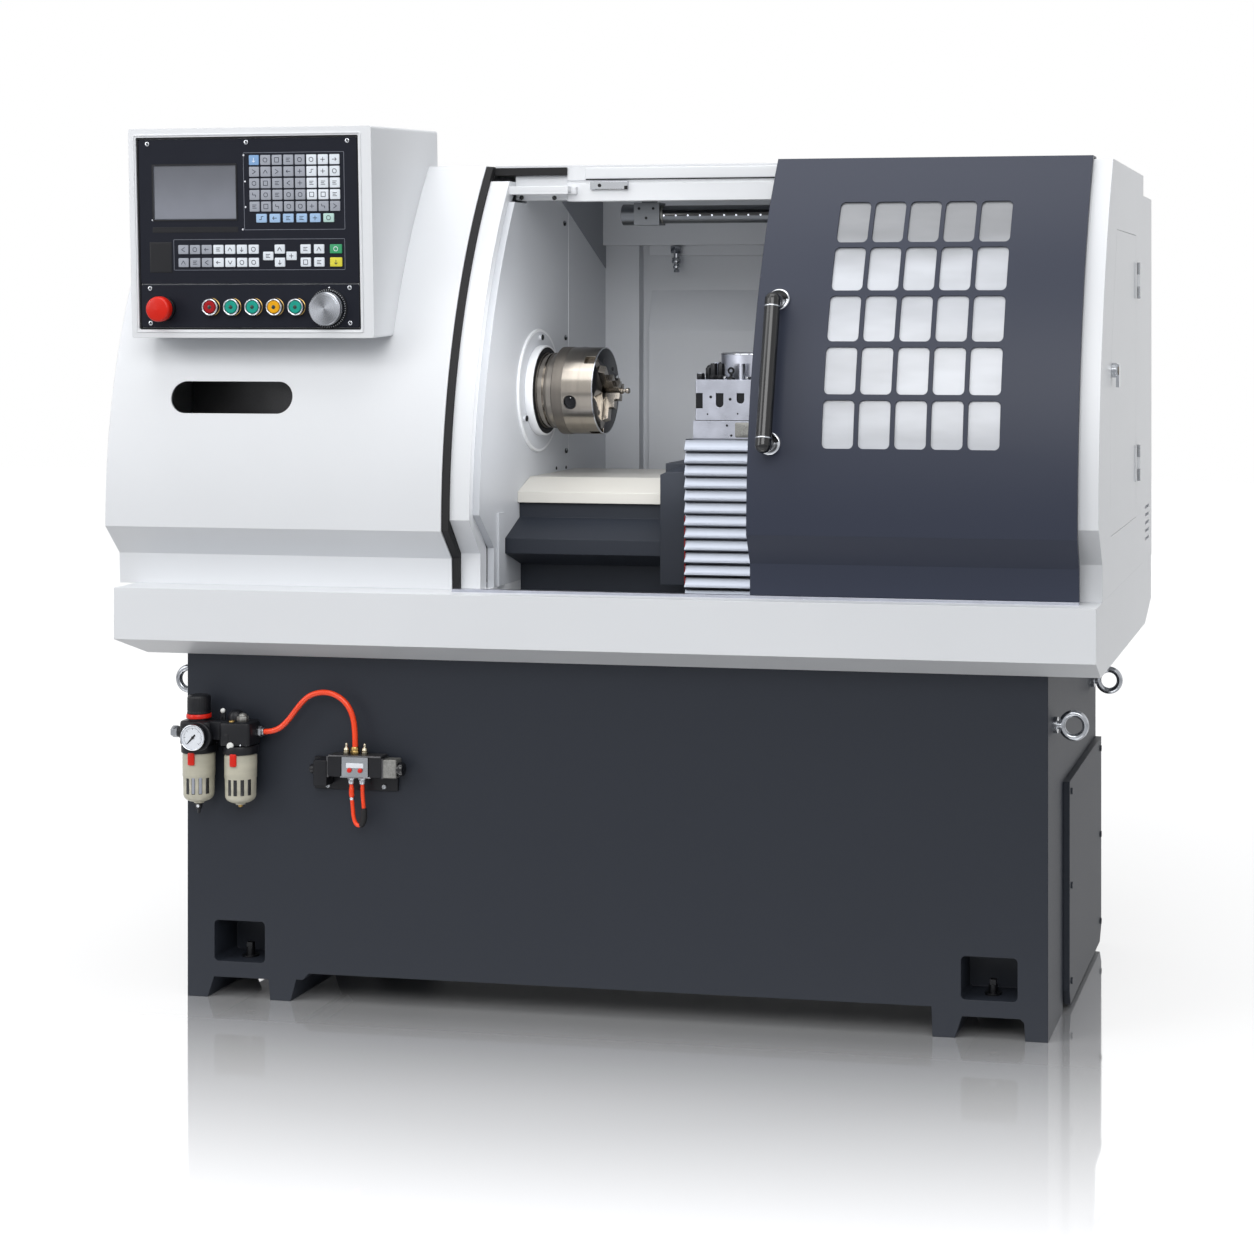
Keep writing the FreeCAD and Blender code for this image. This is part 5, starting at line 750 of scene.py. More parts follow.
def thinFrame(x0, x1, z0, z1, wide, rise, deep, radius=2.0):
    # a raised line round a rectangle on the panel's face: outer and inner outline, low and high
    rings = []
    for inset, lift in ((0, 0), (0, rise), (wide, rise), (wide, 0)):
        edge = roundOutline(x1 - x0 - 2 * inset, z1 - z0 - 2 * inset, max(radius - inset, 0.3))
        rings.append(np.column_stack([edge[:, 0] + (x0 + x1) / 2, np.full(len(edge), deep - lift),
                                      edge[:, 1] + (z0 + z1) / 2]))
    return np.concatenate(rings), gridFaces(4, len(rings[0]), True)


def panelTrim():
    # the film's inner fields, the lines round them, the screen's frame and the fixing screws
    panel = {"screw": 4.3, "pin": 1.8, "line": 0.9}
    makePiece("panelLines", join(thinFrame(221, 414, 194, 333, panel["line"], 0.3, 3.05),
                                 thinFrame(83, 413, 122, 178, panel["line"], 0.3, 3.05)), "lineGrey",
              boxed=True)
    makePiece("screenFrame", thinFrame(43.2, 208.8, 211.2, 313.8, 2.8, 0.9, 3.05, 3.0), "blackPlastic",
              boxed=True)
    makePiece("screenGlint", thinFrame(46.0, 206.0, 214.0, 311.0, 0.5, 0.5, 3.05, 1.0), "lineGrey",
              boxed=True)
    fields = [spread(turnTo(tile(166, 10, [(0, 0), (0, 0.15), (0.4, 0.2), (1.6, 0.2)], 0.8), "front"),
                     [(126, 3.05, 195)]),
              spread(turnTo(tile(43, 55, [(0, 0), (0, 0.5), (0.5, 0.7), (2.5, 0.7)], 0.8), "front"),
                     [(58, 3.05, 145.5)]),
              thinFrame(14.4, 441.6, 15.4, 361.6, 2.8, 5.4, 8.0, 3.0)]
    makePiece("panelBead", thinFrame(8.6, 447.4, 9.6, 367.4, 2.6, 1.3, 0.2, 4.0), "whiteCoat",
              boxed=True)
    makePiece("darkFields", join(*fields), "blackPlastic", boxed=True)
    screws = [(36, 3.1, 350.5), (228, 3.1, 351.5), (421, 3.1, 352.0), (36, 3.1, 89.5), (421, 3.1, 90),
              (36, 3.1, 26.5), (421, 3.1, 27)]
    makePiece("panelScrews", spread(turnTo(screwHead(panel["screw"], 2.2, 0.5), "front"), screws), "chrome",
              boxed=True)
    # a dark bar across each screw head: painted shade in its slot
    slotShade = turnTo(tile(1.9, 5.6, [(0, 0.6), (0, 2.1), (0.2, 2.35)], 0.6), rolled("front", 35))
    makePiece("panelScrewSlotShade", spread(slotShade, screws), "blackOxide", boxed=True)
    # small chrome domes set where bright glints show on the film: painted highlights
    pins = [(222, 3.1, 328), (224, 3.1, 281), (224, 3.1, 235), (218, 3.1, 195), (43, 3.1, 213),
            (381.5, 3.1, 90)]
    makePiece("panelGlintDots", spread(turnTo(domeHead(panel["pin"], 1.0), "front"), pins), "chrome", boxed=True)


def pushButtons():
    # a brass barrel carries a chrome bezel with a soft shoulder; the coloured cap has a dark lens
    button = {"first": 155.7, "pitch": 41.2, "z": 56.0, "stop": (65, 3.0, 53), "proud": 12.6}
    top = button["proud"]
    spots = [(button["first"] + button["pitch"] * i, 3.1, button["z"]) for i in range(5)]
    bezel = turnTo(lathed([(11.2, top - 8), (15.6, top - 8), (16.0, top - 6.5), (15.8, top - 3.0),
                           (15.0, top - 0.9), (13.8, top), (12.8, top - 0.6), (11.6, top - 2.2)], 48, True),
                   "front")
    makePiece("buttonBezels", spread(bezel, spots), "chrome", boxed=True,
              standsFor=("button_rings",))
    barrel = turnTo(lathed([(11.2, 0), (15.8, 0), (15.8, 1.4), (14.6, 2.0), (14.6, top - 7.6),
                            (11.2, top - 7.6)], 40, True), "front")
    makePiece("buttonBarrels", spread(barrel, spots), "brass", boxed=True)
    cap = turnTo(lathed([(0, top - 6), (11.0, top - 6), (11.0, top - 2.0), (10.4, top - 1.1),
                         (8.6, top - 0.9), (4.4, top - 1.3), (0, top - 1.4)], 40), "front")
    lens = turnTo(lathed([(0, top - 1.6), (3.5, top - 1.6), (3.5, top - 0.8), (2.6, top - 0.4),
                          (0, top - 0.3)], 24), "front")
    names = ("one", "two", "three", "four", "five")
    tones = ("darkRedPlastic", "greenPlastic", "greenPlastic", "yellowPlastic", "greenPlastic")
    slots = ("red plastic", "green plastic", "green plastic", "yellow plastic", "green plastic")
    for name, tone, slot, spot in zip(names, tones, slots, spots):
        makePiece(name + "ButtonFace", spread(cap, [spot]), tone, "button " + name, boxed=True)
        makePiece(name + "ButtonLens", spread(lens, [spot]), "lensDark", "button " + name, boxed=True)
    skirt = turnTo(lathed([(9.4, 0), (20.4, 0), (20.8, 0.8), (19.9, 6.5), (17, 7.4), (9.4, 7.4)], 48, True),
                   "front")
    makePiece("stopSkirt", spread(skirt, [button["stop"]]), "blackPlastic", boxed=True)
    profile = [(0, 16.6), (20.4, 16.6), (22.4, 18.2), (22.9, 21.5), (22.8, 27.8), (22.2, 30.6), (20.9, 32.3),
               (18.6, 33.0), (8, 33.1), (0, 33.1)]
    makePiece("stopCap", spread(turnTo(lathed(profile, 56), "front"), [button["stop"]]), "redPlastic",
              "stop button", boxed=True)


def handDial():
    # spun knob in two tiers over a graduated black ring
    dial = {"place": (379.5, 3.0, 53.0), "ticks": 50, "rim": 30.4, "front": 26.4}
    profile = [(0, 3.8), (28.6, 3.8), (dial["rim"], 5.0), (dial["rim"], 11.6), (29.4, 12.6), (27.0, 13.2),
               (dial["front"], 14.0), (dial["front"], 18.4), (25.4, 19.3), (0, 19.5)]
    knob = turnTo(lathed(profile, 120, flutes=(60, 30, 0.22)), "front")
    makePiece("dialKnob", spread(knob, [dial["place"]]), "dialFace", "hand dial",
              boxed=True, sharp=28)
    ring = turnTo(lathed([(31, 0), (35.8, 0), (35.8, 1.6), (34.8, 2.8), (31.8, 3.1), (31, 2.4)], 72, True),
                  "front")
    makePiece("dialRing", spread(ring, [dial["place"]]), "blackPlastic", boxed=True)
    step = turnTo(lathed([(26.0, 13.0), (28.6, 13.0), (28.8, 13.5), (26.6, 14.6), (26.0, 14.6)], 72, True),
                  "front")
    makePiece("dialStep", spread(step, [dial["place"]]), "blackOxide", "hand dial",
              boxed=True)
    turn = np.linspace(0, 2 * np.pi, dial["ticks"], endpoint=False)
    way = np.stack([np.cos(turn), np.sin(turn)], -1)
    ends = np.stack([way * 32.2, way * 34.4], 1)
    makePiece("dialTicks", spread(turnTo(strokes(ends, 0.25, 2.7, 3.2), "front"), [dial["place"]]),
              "markPale", boxed=True)


softKeys()
panelTrim()
pushButtons()
handDial()
print("control panel dressed")


def airBowls():
    # two hanging bowls with a rounded foot, a black collar, sight slots, red catches and drains
    bowl = {"radius": 29.0, "slotWide": 6.4, "slotTall": 39, "slotLow": 383, "tabWide": 12.0, "tabTall": 23}
    low, high = nodeBox("air_bowls")
    leftX, rightX, y = low[0] + bowl["radius"], high[0] - bowl["radius"], (low[1] + high[1]) / 2
    top, foot, r = high[2], high[2] - 91.5, bowl["radius"]
    both = [(leftX, y, 0), (rightX, y, 0)]
    arc = np.linspace(0, np.pi / 2, 8)
    footCurve = np.column_stack([9 + (r - 10.5) * np.sin(arc), foot + 14 - 14 * np.cos(arc)])
    shell = lathed([(0, foot)] + footCurve.tolist() + [(r - 1.5, foot + 20), (r - 1.0, foot + 44),
                                                       (r - 0.2, foot + 48), (r, top - 6), (r - 2, top),
                                                       (0, top)], 64)
    makePiece("filterBowls", spread(shell, both), "bowlPlastic",
              standsFor=("air_bowls",))
    band = lathed([(4, top - 2), (r + 0.8, top - 2), (r + 2.2, top - 0.8), (r + 2.4, top + 10),
                   (r + 1.2, top + 13), (4, top + 14)], 64, True)
    makePiece("bowlCollars", spread(band, both), "blackPlastic")
    slot = tile(bowl["slotWide"], bowl["slotTall"], [(0, -1.2), (0, 0.3), (0.4, 0.45)], 0.8)
    slots = join(*[wrapOnto(slot, r - 1.2, angle + turn) for angle in (-18, 6, 32, 59) for turn in (0, 180)])
    middle = bowl["slotLow"] + bowl["slotTall"] / 2
    makePiece("bowlSlots", spread(slots, [(leftX, y, middle), (rightX, y, middle)]), "glossBlack")
    element = join(*[wrapOnto(tile(5.0, bowl["slotTall"] - 2, [(0, 0), (0, 0.6), (0.4, 0.7)], 0.6), r - 1.2,
                              angle) for angle in (6, 32)])
    makePiece("filterElement", spread(element, [(leftX, y, middle)]), "keyGrey")
    tab = wrapOnto(tile(bowl["tabWide"], bowl["tabTall"], [(0, -2), (0, 2.2), (0.5, 3.2), (1.8, 3.8)], 2.4),
                   r, 0)
    tabAt = top + 1 - bowl["tabTall"] / 2
    makePiece("bowlTabs", spread(tab, [(leftX, y, tabAt), (rightX, y, tabAt)]), "redPlastic")
    rim = lathed([(0, foot - 3), (8.6, foot - 3), (9.2, foot - 2), (9.2, foot + 1), (0, foot + 1)], 32)
    makePiece("bowlBosses", spread(rim, both), "bowlPlastic")
    drain = lathed([(0, foot - 22), (2.4, foot - 22), (2.8, foot - 16), (5.6, foot - 12), (6.4, foot - 6),
                    (5.2, foot - 2.6), (0, foot - 2.6)], 24)
    makePiece("filterDrain", spread(drain, [(leftX, y, 0)]), "blackPlastic")
    plug = lathed([(0, foot - 8.4), (2.6, foot - 8.4), (4.2, foot - 7), (4.4, foot - 2.6), (0, foot - 2.6)],
                  24)
    makePiece("oilerDrain", spread(plug, [(rightX, y, 0)]), "brass")
    makePiece("drainTip", spread(turnTo(domeHead(3.2, 2.4), "front"), [(leftX + 1, y - 5.4, foot - 8)]),
              "chrome")


def airBodies():
    # two cast blocks joined by a bridge, their fittings and the bracket that holds them
    unit = {"filter": (-754.0, -37.0), "oiler": (-676.0, -37.0), "low": 478.0, "top": 514.5}
    low, top = unit["low"], unit["top"]
    rings = [(3, low - 6), (0.6, low - 5), (0, low - 2), (0, top - 5), (1.0, top - 1.6), (3.4, top)]
    makePiece("filterBody", join(spread(tile(61.5, 50, rings, 13, 6), [(*unit["filter"], 0)]),
                                 spread(lathed([(0, top - 2), (19.5, top - 2), (19.5, top + 4.5),
                                                (0, top + 4.5)], 48),
                                        [(-755.5, -36, 0)]),
                                 spread(turnTo(lathed([(0, 0), (24, 0), (24, 8), (26.4, 8.6), (26.4, 11),
                                                       (25.2, 12), (0, 12)], 48), "front"),
                                        [(-743.0, -58, 488.5)])), "blackPlastic",
              standsFor=("air_unit",))
    makePiece("oilerBody", join(
        spread(tile(60.5, 50, rings, 9, 6), [(*unit["oiler"], 0)]),
        spread(tile(68, 30, [(0, low + 4), (0, top - 1.5), (1, top - 0.4)], 3), [(-715, -38, 0)]),
        barBetween((-776, -13, 470), (-655, 0, 506)),
        spread(turnTo(tile(9, 14, [(0, -3), (0, 0.4), (0.4, 0.6)], 1), "front"), [(-690.5, -62, 487)])),
              "blackPlastic")
    makePiece("bracketArm", join(barBetween((-717.5, -31, 510), (-707, -28, 533)),
                                 barBetween((-716.5, -34, 512), (-712.5, -28, 520))), "blackPlastic")
    makePiece("bracketPlug", spread(turnTo(domeHead(4.6, 4), "front"), [(-711.5, -31, 531)]), "whitePlastic")
    dome = lathed([(0, top - 2), (14.4, top - 2), (14.6, top + 8), (12.4, top + 14), (8, top + 17.5),
                   (0, top + 19)], 36)
    makePiece("oilerDome", spread(dome, [(-687, -28, 0)]), "blackPlastic")
    plug = join(spread(hexNut(19, 10), [(0, 0, top - 0.5)]), spread(domeHead(7.5, 6), [(0, 0, top + 9)]))
    makePiece("fillPlug", spread(plug, [(-668.4, -40, 0)]), "castGrey")
    makePiece("brassScrew", spread(screwHead(5.4, 3.2, 0.5), [(-685, -50, top - 0.6)]), "brass")
    white = turnTo(lathed([(0, 0), (6.0, 0), (6.4, 1), (6.4, 5.5), (5.4, 6.6), (0, 6.8)], 28), "front")
    makePiece("frontPlug", spread(white, [(-681.5, -59, 473)]), "whitePlastic")
    makePiece("frontPin", spread(turnTo(domeHead(1.8, 1.6), "front"), [(-662.5, -62, 474.5)]), "chrome")
    makePiece("inletNut", spread(turnTo(hexNut(19, 12), "left"), [(-795.5, -36, 491.5)]), "zinc")
    neck = lathed([(0, -4), (12, -4), (12, 7), (9, 11), (9, 12), (0, 12)], 36)
    makePiece("inletNeck", spread(turnTo(neck, "left"), [(-784, -36, 491.5)]), "blackPlastic")
    makePiece("outletNut", join(spread(turnTo(hexNut(18, 8.6), "right"), [(-647, -25, 494.3)]),
                                spread(turnTo(lathed([(5.2, 8), (7.4, 8), (7.6, 9), (7.6, 12.4),
                                                      (6.6, 13.6), (5.2, 13.6)], 28, True), "right"),
                                       [(-647, -25, 494.3)])), "zinc")


def pressureGauge():
    # case, bright rim, white dial with tick marks, needle and hub
    gauge = {"ticks": 31, "first": -45, "last": 225, "needle": 137}
    low, high = nodeBox("pressure_gauge")
    middle = [((low[0] + high[0]) / 2, high[1], (low[2] + high[2]) / 2)]
    deep = high[1] - low[1]
    case = turnTo(lathed([(0, 0), (9, 0), (9, 3), (19, 5), (22.6, 7), (23.4, 9), (23.4, deep - 2.5),
                          (0, deep - 2.5)], 56), "front")
    makePiece("gaugeCase", spread(case, middle), "blackPlastic",
              standsFor=("pressure_gauge",))
    rim = turnTo(lathed([(21.6, deep - 4), (23.6, deep - 4), (23.7, deep - 1.4), (23.1, deep - 0.2),
                         (22.5, deep), (21.8, deep - 0.4), (21.6, deep - 2.2)], 64, True), "front")
    makePiece("gaugeRim", spread(rim, middle), "chrome")
    face = turnTo(lathed([(0, deep - 3.4), (21.8, deep - 3.4), (21.8, deep - 2.2), (0, deep - 2.2)], 48),
                  "front")
    makePiece("gaugeDial", spread(face, middle), "dialWhite")
    turn = np.radians(np.linspace(gauge["first"], gauge["last"], gauge["ticks"]))
    way = np.stack([np.cos(turn), np.sin(turn)], -1)
    inner = np.where(np.arange(gauge["ticks"]) % 5 == 0, 14.0, 16.2)[:, None]
    ticks = strokes(np.stack([way * inner, way * 18.0], 1), 0.32, deep - 2.3, deep - 2.0)
    makePiece("gaugeTicks", spread(turnTo(ticks, "front"), middle), "markDark")
    blade = slab([(-1.4, -7), (1.4, -7), (1.7, 0), (0.5, 15.5), (-0.5, 15.5), (-1.7, 0)], deep - 1.9,
                 deep - 1.4)
    hub = lathed([(0, deep - 2.2), (2.6, deep - 2.2), (2.6, deep - 1.3), (1.8, deep - 0.9),
                  (0, deep - 0.8)], 24)
    makePiece("gaugeNeedle", spread(join(turnTo(blade, rolled("front", gauge["needle"])),
                                         turnTo(hub, "front")),
                                    middle), "blackPlastic")


def regulatorKnob():
    # fluted cap over a red lock ring
    knob = {"flutes": 40, "depth": 0.28, "radius": 20.3}
    low, high = nodeBox("regulator_knob")
    middle = [((low[0] + high[0]) / 2, (low[1] + high[1]) / 2, 0)]
    z0, z1, r = low[2] + 2.5, high[2] + 2.0, knob["radius"]
    profile = [(0, z0), (r + 0.2, z0), (r + 0.3, z0 + 3), (r - 0.2, z0 + 4), (r, z0 + 5), (r, z1 - 5),
               (r - 0.8, z1 - 2.2), (r - 2.6, z1 - 0.6), (r - 5, z1), (0, z1)]
    makePiece("regulatorCap", spread(lathed(profile, 160, flutes=(knob["flutes"], r - 0.1, knob["depth"])),
                                     middle), "blackPlastic", "regulator knob",
              standsFor=("regulator_knob",))
    lock = lathed([(15, z0 - 8.6), (21.6, z0 - 8.6), (22.4, z0 - 7.8), (22.4, z0 - 2.2), (21.4, z0 - 0.6),
                   (15, z0 - 0.6)], 56, True)
    makePiece("lockRing", spread(lock, middle), "redPlastic")


def solenoidValve():
    # silver manifold between two coils on a black plate, with silencers, elbows and an end knob
    makePiece("manifold", join(spread(turnTo(tile(50.4, 38.4, [(0, 0), (0, 33.4), (0.8, 34.2)], 1.2),
                                             "front"),
                                      [(-452.3, -8, 439.6)]),
                               spread(turnTo(tile(58, 3, [(0, 0), (0, 31), (0.5, 31.5)], 0.5), "front"),
                                      [(-452.3, -8, 420.2)])), "zinc",
              standsFor=("solenoid_valve",))
    makePiece("manifoldPlate", spread(turnTo(tile(33, 8.6, [(0, 0), (0, 0.5), (0.3, 0.8)], 1.0), "front"),
                                      [(-451.8, -42.2, 441.6)]), "dialWhite")
    dot = turnTo(lathed([(0, 0), (4.2, 0), (4.4, 1), (4.2, 2.6), (3.2, 3.4), (0, 3.6)], 24), "front")
    makePiece("overrideButtons", spread(dot, [(-461.8, -42, 433), (-441.2, -42, 433)]), "redPlastic")
    coil = turnTo(tile(27, 38, [(0.6, 10), (0, 12), (0, 39.6), (1.2, 41)], 5), "front")
    makePiece("coils", join(spread(coil, [(-491.5, 0, 439), (-414, 0, 439)], [(1, 1, 1), (0.93, 1, 1)]),
                            barBetween((-534, -38, 402), (-508, -7, 448), 1.2, 2.5)), "blackPlastic")
    makePiece("coilBrackets", join(barBetween((-509, -36, 418), (-504.8, -9, 456), 0.5, 0.8),
                                   barBetween((-503, -43, 456.5), (-402, -12, 459.5), 0.5, 1.0),
                                   barBetween((-402, -40, 419), (-399.4, -10, 455), 0.5, 0.8)), "castIron")
    makePiece("endBlock", barBetween((-402, -39, 420), (-374.5, -12, 453.5), 1.5, 3.0), "castGrey")
    cap = turnTo(lathed([(0, 0), (12, 0), (12.6, 1.2), (12.6, 8), (11, 10.6), (0, 11)], 36), "right")
    makePiece("endKnob", spread(cap, [(-375.5, -26, 435)]), "glossBlack")
    cap = turnTo(lathed([(0, 0), (9, 0), (9.2, 6), (7.6, 10.5), (4, 12.5), (0, 13)], 32), "left")
    makePiece("endCap", spread(cap, [(-533, -25, 430.6)]), "blackPlastic")
    makePiece("valvePlate", spread(turnTo(tile(160.5, 58, [(0, 0), (0, 5), (0.8, 6)], 2), "front"),
                                   [(-465.6, 0, 420)]), "blackPlastic")
    silencer = lathed([(0, 0), (5.6, 0), (6.2, 1), (6.2, 5), (4.6, 6), (5.6, 7.4), (5.0, 11), (2.4, 13.5),
                       (2.6, 17.5), (1.6, 19.8), (0, 20.2)], 28)
    makePiece("silencers", spread(silencer, [(-475, -25, 459), (-440, -25, 459)]), "nickel")
    inlet = join(spread(hexNut(15, 7), [(0, 0, 459)]),
                 lathed([(5.2, 465.5), (7.2, 465.5), (7.2, 471), (6.0, 473), (5.2, 473)], 28, True))
    makePiece("inletFitting", spread(inlet, [(-458.4, -25, 0)]), "brass")
    outlet = join(turnTo(hexNut(14, 6), "down"), turnTo(lathed([(3.7, 5.6), (6.2, 5.6), (6.2, 12.4),
                                                                (5.2, 14.4), (3.7, 14.4)], 28, True),
                                                        "down"))
    makePiece("outletFittings", spread(outlet, [(-465.5, -25, 420), (-444.5, -25, 420)]), "zinc")
    makePiece("plateScrews", spread(turnTo(screwHead(4.2, 2.4), "front"),
                                    [(-519, -6, 397.5), (-411, -6, 398.5)]), "zinc")


def hoseSleeves(hose):
    # rubber sleeves and a joining ferrule threaded on the small hose: circles carried along its own
    # line, their radius drawn in at both ends with the fourth root of a sine
    threaded = []
    thin = bpy.data.objects.new("thinLine", hose.data.copy())
    thin.data.bevel_depth = 0.0
    plain = bpy.data.meshes.new_from_object(thin)
    line = np.empty(len(plain.vertices) * 3)
    plain.vertices.foreach_get("co", line)
    line = line.reshape(-1, 3) * 1000 - datum
    bpy.data.meshes.remove(plain)
    bpy.data.curves.remove(thin.data)
    share = np.linspace(0, 1, len(line))
    for name, first, last, radius, finish, slot in (
            ("rubberSleeve", 0.53, 0.80, 5.9, "rubber", "black rubber"),
            ("upperSleeve", 0.02, 0.088, 4.6, "orangeHose", "orange hose"),
            ("hoseFerrule", 0.09, 0.112, 4.4, "chrome", "zinc plate")):
        along = np.linspace(first, last, 24)
        path = np.column_stack([np.interp(along, share, line[:, i]) for i in range(3)])
        run = np.gradient(path, axis=0)
        run /= np.linalg.norm(run, axis=1, keepdims=True)
        side = np.tile([0, 1.0, 0], (len(path), 1))
        lift = np.cross(run, side)
        a = np.linspace(0, 2 * np.pi, 20, endpoint=False)[None, :, None]
        ends = np.sin(np.linspace(0, np.pi, 24)) ** 0.25
        swell = radius - 1.2 * (1 - ends)
        ring = path[:, None] + swell[:, None, None] * (side[:, None] * np.cos(a) + lift[:, None] * np.sin(a))
        close = np.repeat(path[[0, -1]][:, None], 20, 1)
        points = np.concatenate([close[:1], ring, close[1:]]).reshape(-1, 3)
        threaded.append(makePiece(name, (points, gridFaces(26, 20)), finish))
    return threaded


airBowls()
airBodies()
pressureGauge()
regulatorKnob()
solenoidValve()
hoseSleeves(hoses["valve"])
print("air unit and valve dressed")


def chuckTrim():
    # a matt backing ring, a lip, key sockets, bolts, and the face between the jaws: each sector of it
    # spans the angles between two jaws, less asin(half a jaw's slot / r) at a side that meets a jaw;
    # one is parted at the angle past which the face is bright, the rest carry a painted dark reflection
    chuck = {"back": -172.0, "face": -91.0, "ring": 21.0, "slot": 9.4, "keys": (74, 194, 314), "part": 187}
    middle = np.array(spindleAxis)
    ring = turnTo(lathed([(76, -0.4), (81.6, -0.4), (83.1, 1.0), (83.1, chuck["ring"] - 1.2),
                          (82.4, chuck["ring"] - 0.4), (82.4, chuck["ring"] + 0.4),
                          (76, chuck["ring"] + 0.4)], 96, True), "right")
    makePiece("chuckBackRing", spread(ring, [middle + (chuck["back"], 0, 0)]), "mattSteel", "spindle")
    lip = turnTo(lathed([(80.6, -0.4), (82.9, -1.4), (82.9, -0.2), (82.2, 0.5), (80.6, 0.5)], 96, True),
                 "right")
    makePiece("chuckFaceLip", spread(lip, [middle + (chuck["face"], 0, 0)]), "chrome", "spindle")
    sectors = []
    for first, last in ((14, 134), (134, chuck["part"]), (chuck["part"], 254), (254, 374)):
        r = np.linspace(24, 80.4, 9)[:, None]
        gap = np.arcsin(chuck["slot"] / r)
        before, after = gap * (first != chuck["part"]), gap * (last != chuck["part"])
        share = np.linspace(0, 1, 25)[None]
        a = np.radians(first) + before + (np.radians(last - first) - before - after) * share
        flat = np.stack([r * np.cos(a), r * np.sin(a)], -1)
        rim = np.concatenate([flat[0], flat[1:-1, -1], flat[-1, ::-1], flat[-2:0:-1, 0]])
        sector = turnTo(stacked([rim, rim, drawnIn(rim, 0.35)], [-0.3, 0.35, 0.55]), "right")
        sectors.append(spread(sector, [middle + (chuck["face"], 0, 0)]))
    makePiece("chuckFaceSectors", join(*sectors[:2], sectors[3]), "paintedReflectionSteel", "spindle")
    makePiece("chuckFaceBright", sectors[2], "turnedSteel", "spindle")
    socket = turnTo(lathed([(0, 74.6), (4.2, 74.6), (4.6, 75.2), (10.9, 75.4), (11.9, 76.0), (11.9, 81.9),
                            (12.9, 82.6), (13.4, 82.4), (13.4, 74), (0, 74)], 40), "rear")
    makePiece("keySockets", aroundX(spread(socket, [(-135, 0, 0)]), chuck["keys"], middle), "blackOxide",
              "spindle")
    bead = turnTo(lathed([(0, 75), (2.0, 75), (2.2, 76.6), (1.2, 77.6), (0, 77.9)], 20), "rear")
    makePiece("keyBeads", aroundX(spread(bead, [(-135, 0, -7.4)]), chuck["keys"], middle), "chrome",
              "spindle")
    hole = turnTo(lathed([(0, -0.2), (3.6, -0.2), (4.4, 0.5), (4.6, 1.1), (3.2, 1.1), (2.8, 0.7), (0, 0.7)],
                         24), "right")
    makePiece("faceBolts", aroundX(spread(hole, [(chuck["face"] + 0.1, 58, 0)]),
                                   (44, 104, 164, 224, 284, 344), middle), "blackOxide", "spindle")


def jawTrim():
    # a screw sunk in each jaw's step
    for number, angle, body in ((1, 134, "jaw one"), (2, 14, "jaw two"), (3, 254, "jaw three")):
        tip = nodeBox("jaw_%d" % number)[1][0]
        screw = turnTo(screwHead(3.6, 1.2, 0.6), "right")
        place = aroundX(spread(screw, [(tip - 26, 52, 0)]), (angle,), spindleAxis)
        makePiece("jawScrew%d" % number, place, "blackOxide", body)


def onAxis(*across):
    # places on the spindle's line
    return [(x, *spindleAxis[1:]) for x in across]


def wallTrim():
    # screws, the upright seam and the flange's fixings on the spindle wall, and a painted shadow: a
    # darker triangle on its upper rear corner
    wall = {"x": -226.0, "screws": [(441.5, 1431.6), (448, 1206), (451, 983)]}
    head = turnTo(screwHead(5.2, 3.2, 0.5), "right")
    makePiece("wallScrews", spread(head, [(wall["x"], y, z) for y, z in wall["screws"]]), "blackOxide")
    cap = turnTo(domeHead(2.6, 1.6), "right")
    makePiece("wallScrewGlints", spread(cap, [(wall["x"] + 2.2, y - 2.4, z + 2.6)
                                              for y, z in wall["screws"]]), "chrome")
    seam = tile(1.6, 492, [(0, -0.2), (0, 0.45), (0.4, 0.6)], 0.4)
    makePiece("wallSeam", spread(turnTo(seam, "right"), [(wall["x"], 466.4, 1229)]), "whiteCoat")
    bead = turnTo(lathed([(84.6, 0), (85.4, 0.4), (86.0, 1.8), (86.0, 13.6), (85.2, 15.2), (83.6, 15.6),
                          (82.2, 15.0), (82.0, 14.0), (82.0, 0)], 96, True), "right")
    makePiece("collarRim", spread(bead, onAxis(-222)), "whiteCoat")
    edge = turnTo(lathed([(112, 0), (117.3, 0), (117.8, 1.6), (117.3, 3.6), (116.2, 4.6), (112, 4.4)], 96,
                         True), "right")
    makePiece("flangeEdge", spread(edge, onAxis(wall["x"])), "whiteCoat")
    liner = turnTo(lathed([(71.4, -20), (74.8, -20), (74.8, 14.2), (82.2, 14.2), (82.2, 14.8), (73.2, 15.2),
                           (71.6, 8)], 80, True), "right")
    makePiece("collarSeal", spread(liner, onAxis(-222)), "rubber")
    nose = turnTo(lathed([(66, 0), (71.6, 0), (71.9, 0.6), (71.9, 3.2), (71.2, 4), (66, 4)], 80, True),
                  "right")
    makePiece("noseRings", spread(nose, onAxis(-208, -190)), "mattSteel", "spindle")
    fixing = aroundX(spread(turnTo(screwHead(5.6, 2.4, 0.5), "right"), [(-217.2, 101, 0)]), (90, 210, 330),
                     spindleAxis)
    makePiece("flangeScrews", fixing, "blackOxide")
    # a thin darker plate on the wall's upper rear corner: a painted shadow
    points, faces = slab([(426.8, 1473.6), (722.0, 1487.0), (722.0, 1338.2)], 0, 1.4, 0.4)
    shadowPatch = np.column_stack([wall["x"] + points[:, 2], points[:, 0], points[:, 1]])
    makePiece("wallPaintedShadow", (shadowPatch, faces), "wallShadowCoat")
    dots = turnTo(domeHead(3.4, 1.8), "right")
    makePiece("wayPins", spread(dots, [(wall["x"], 395, 952), (wall["x"], 452, 950)]), "blackOxide")


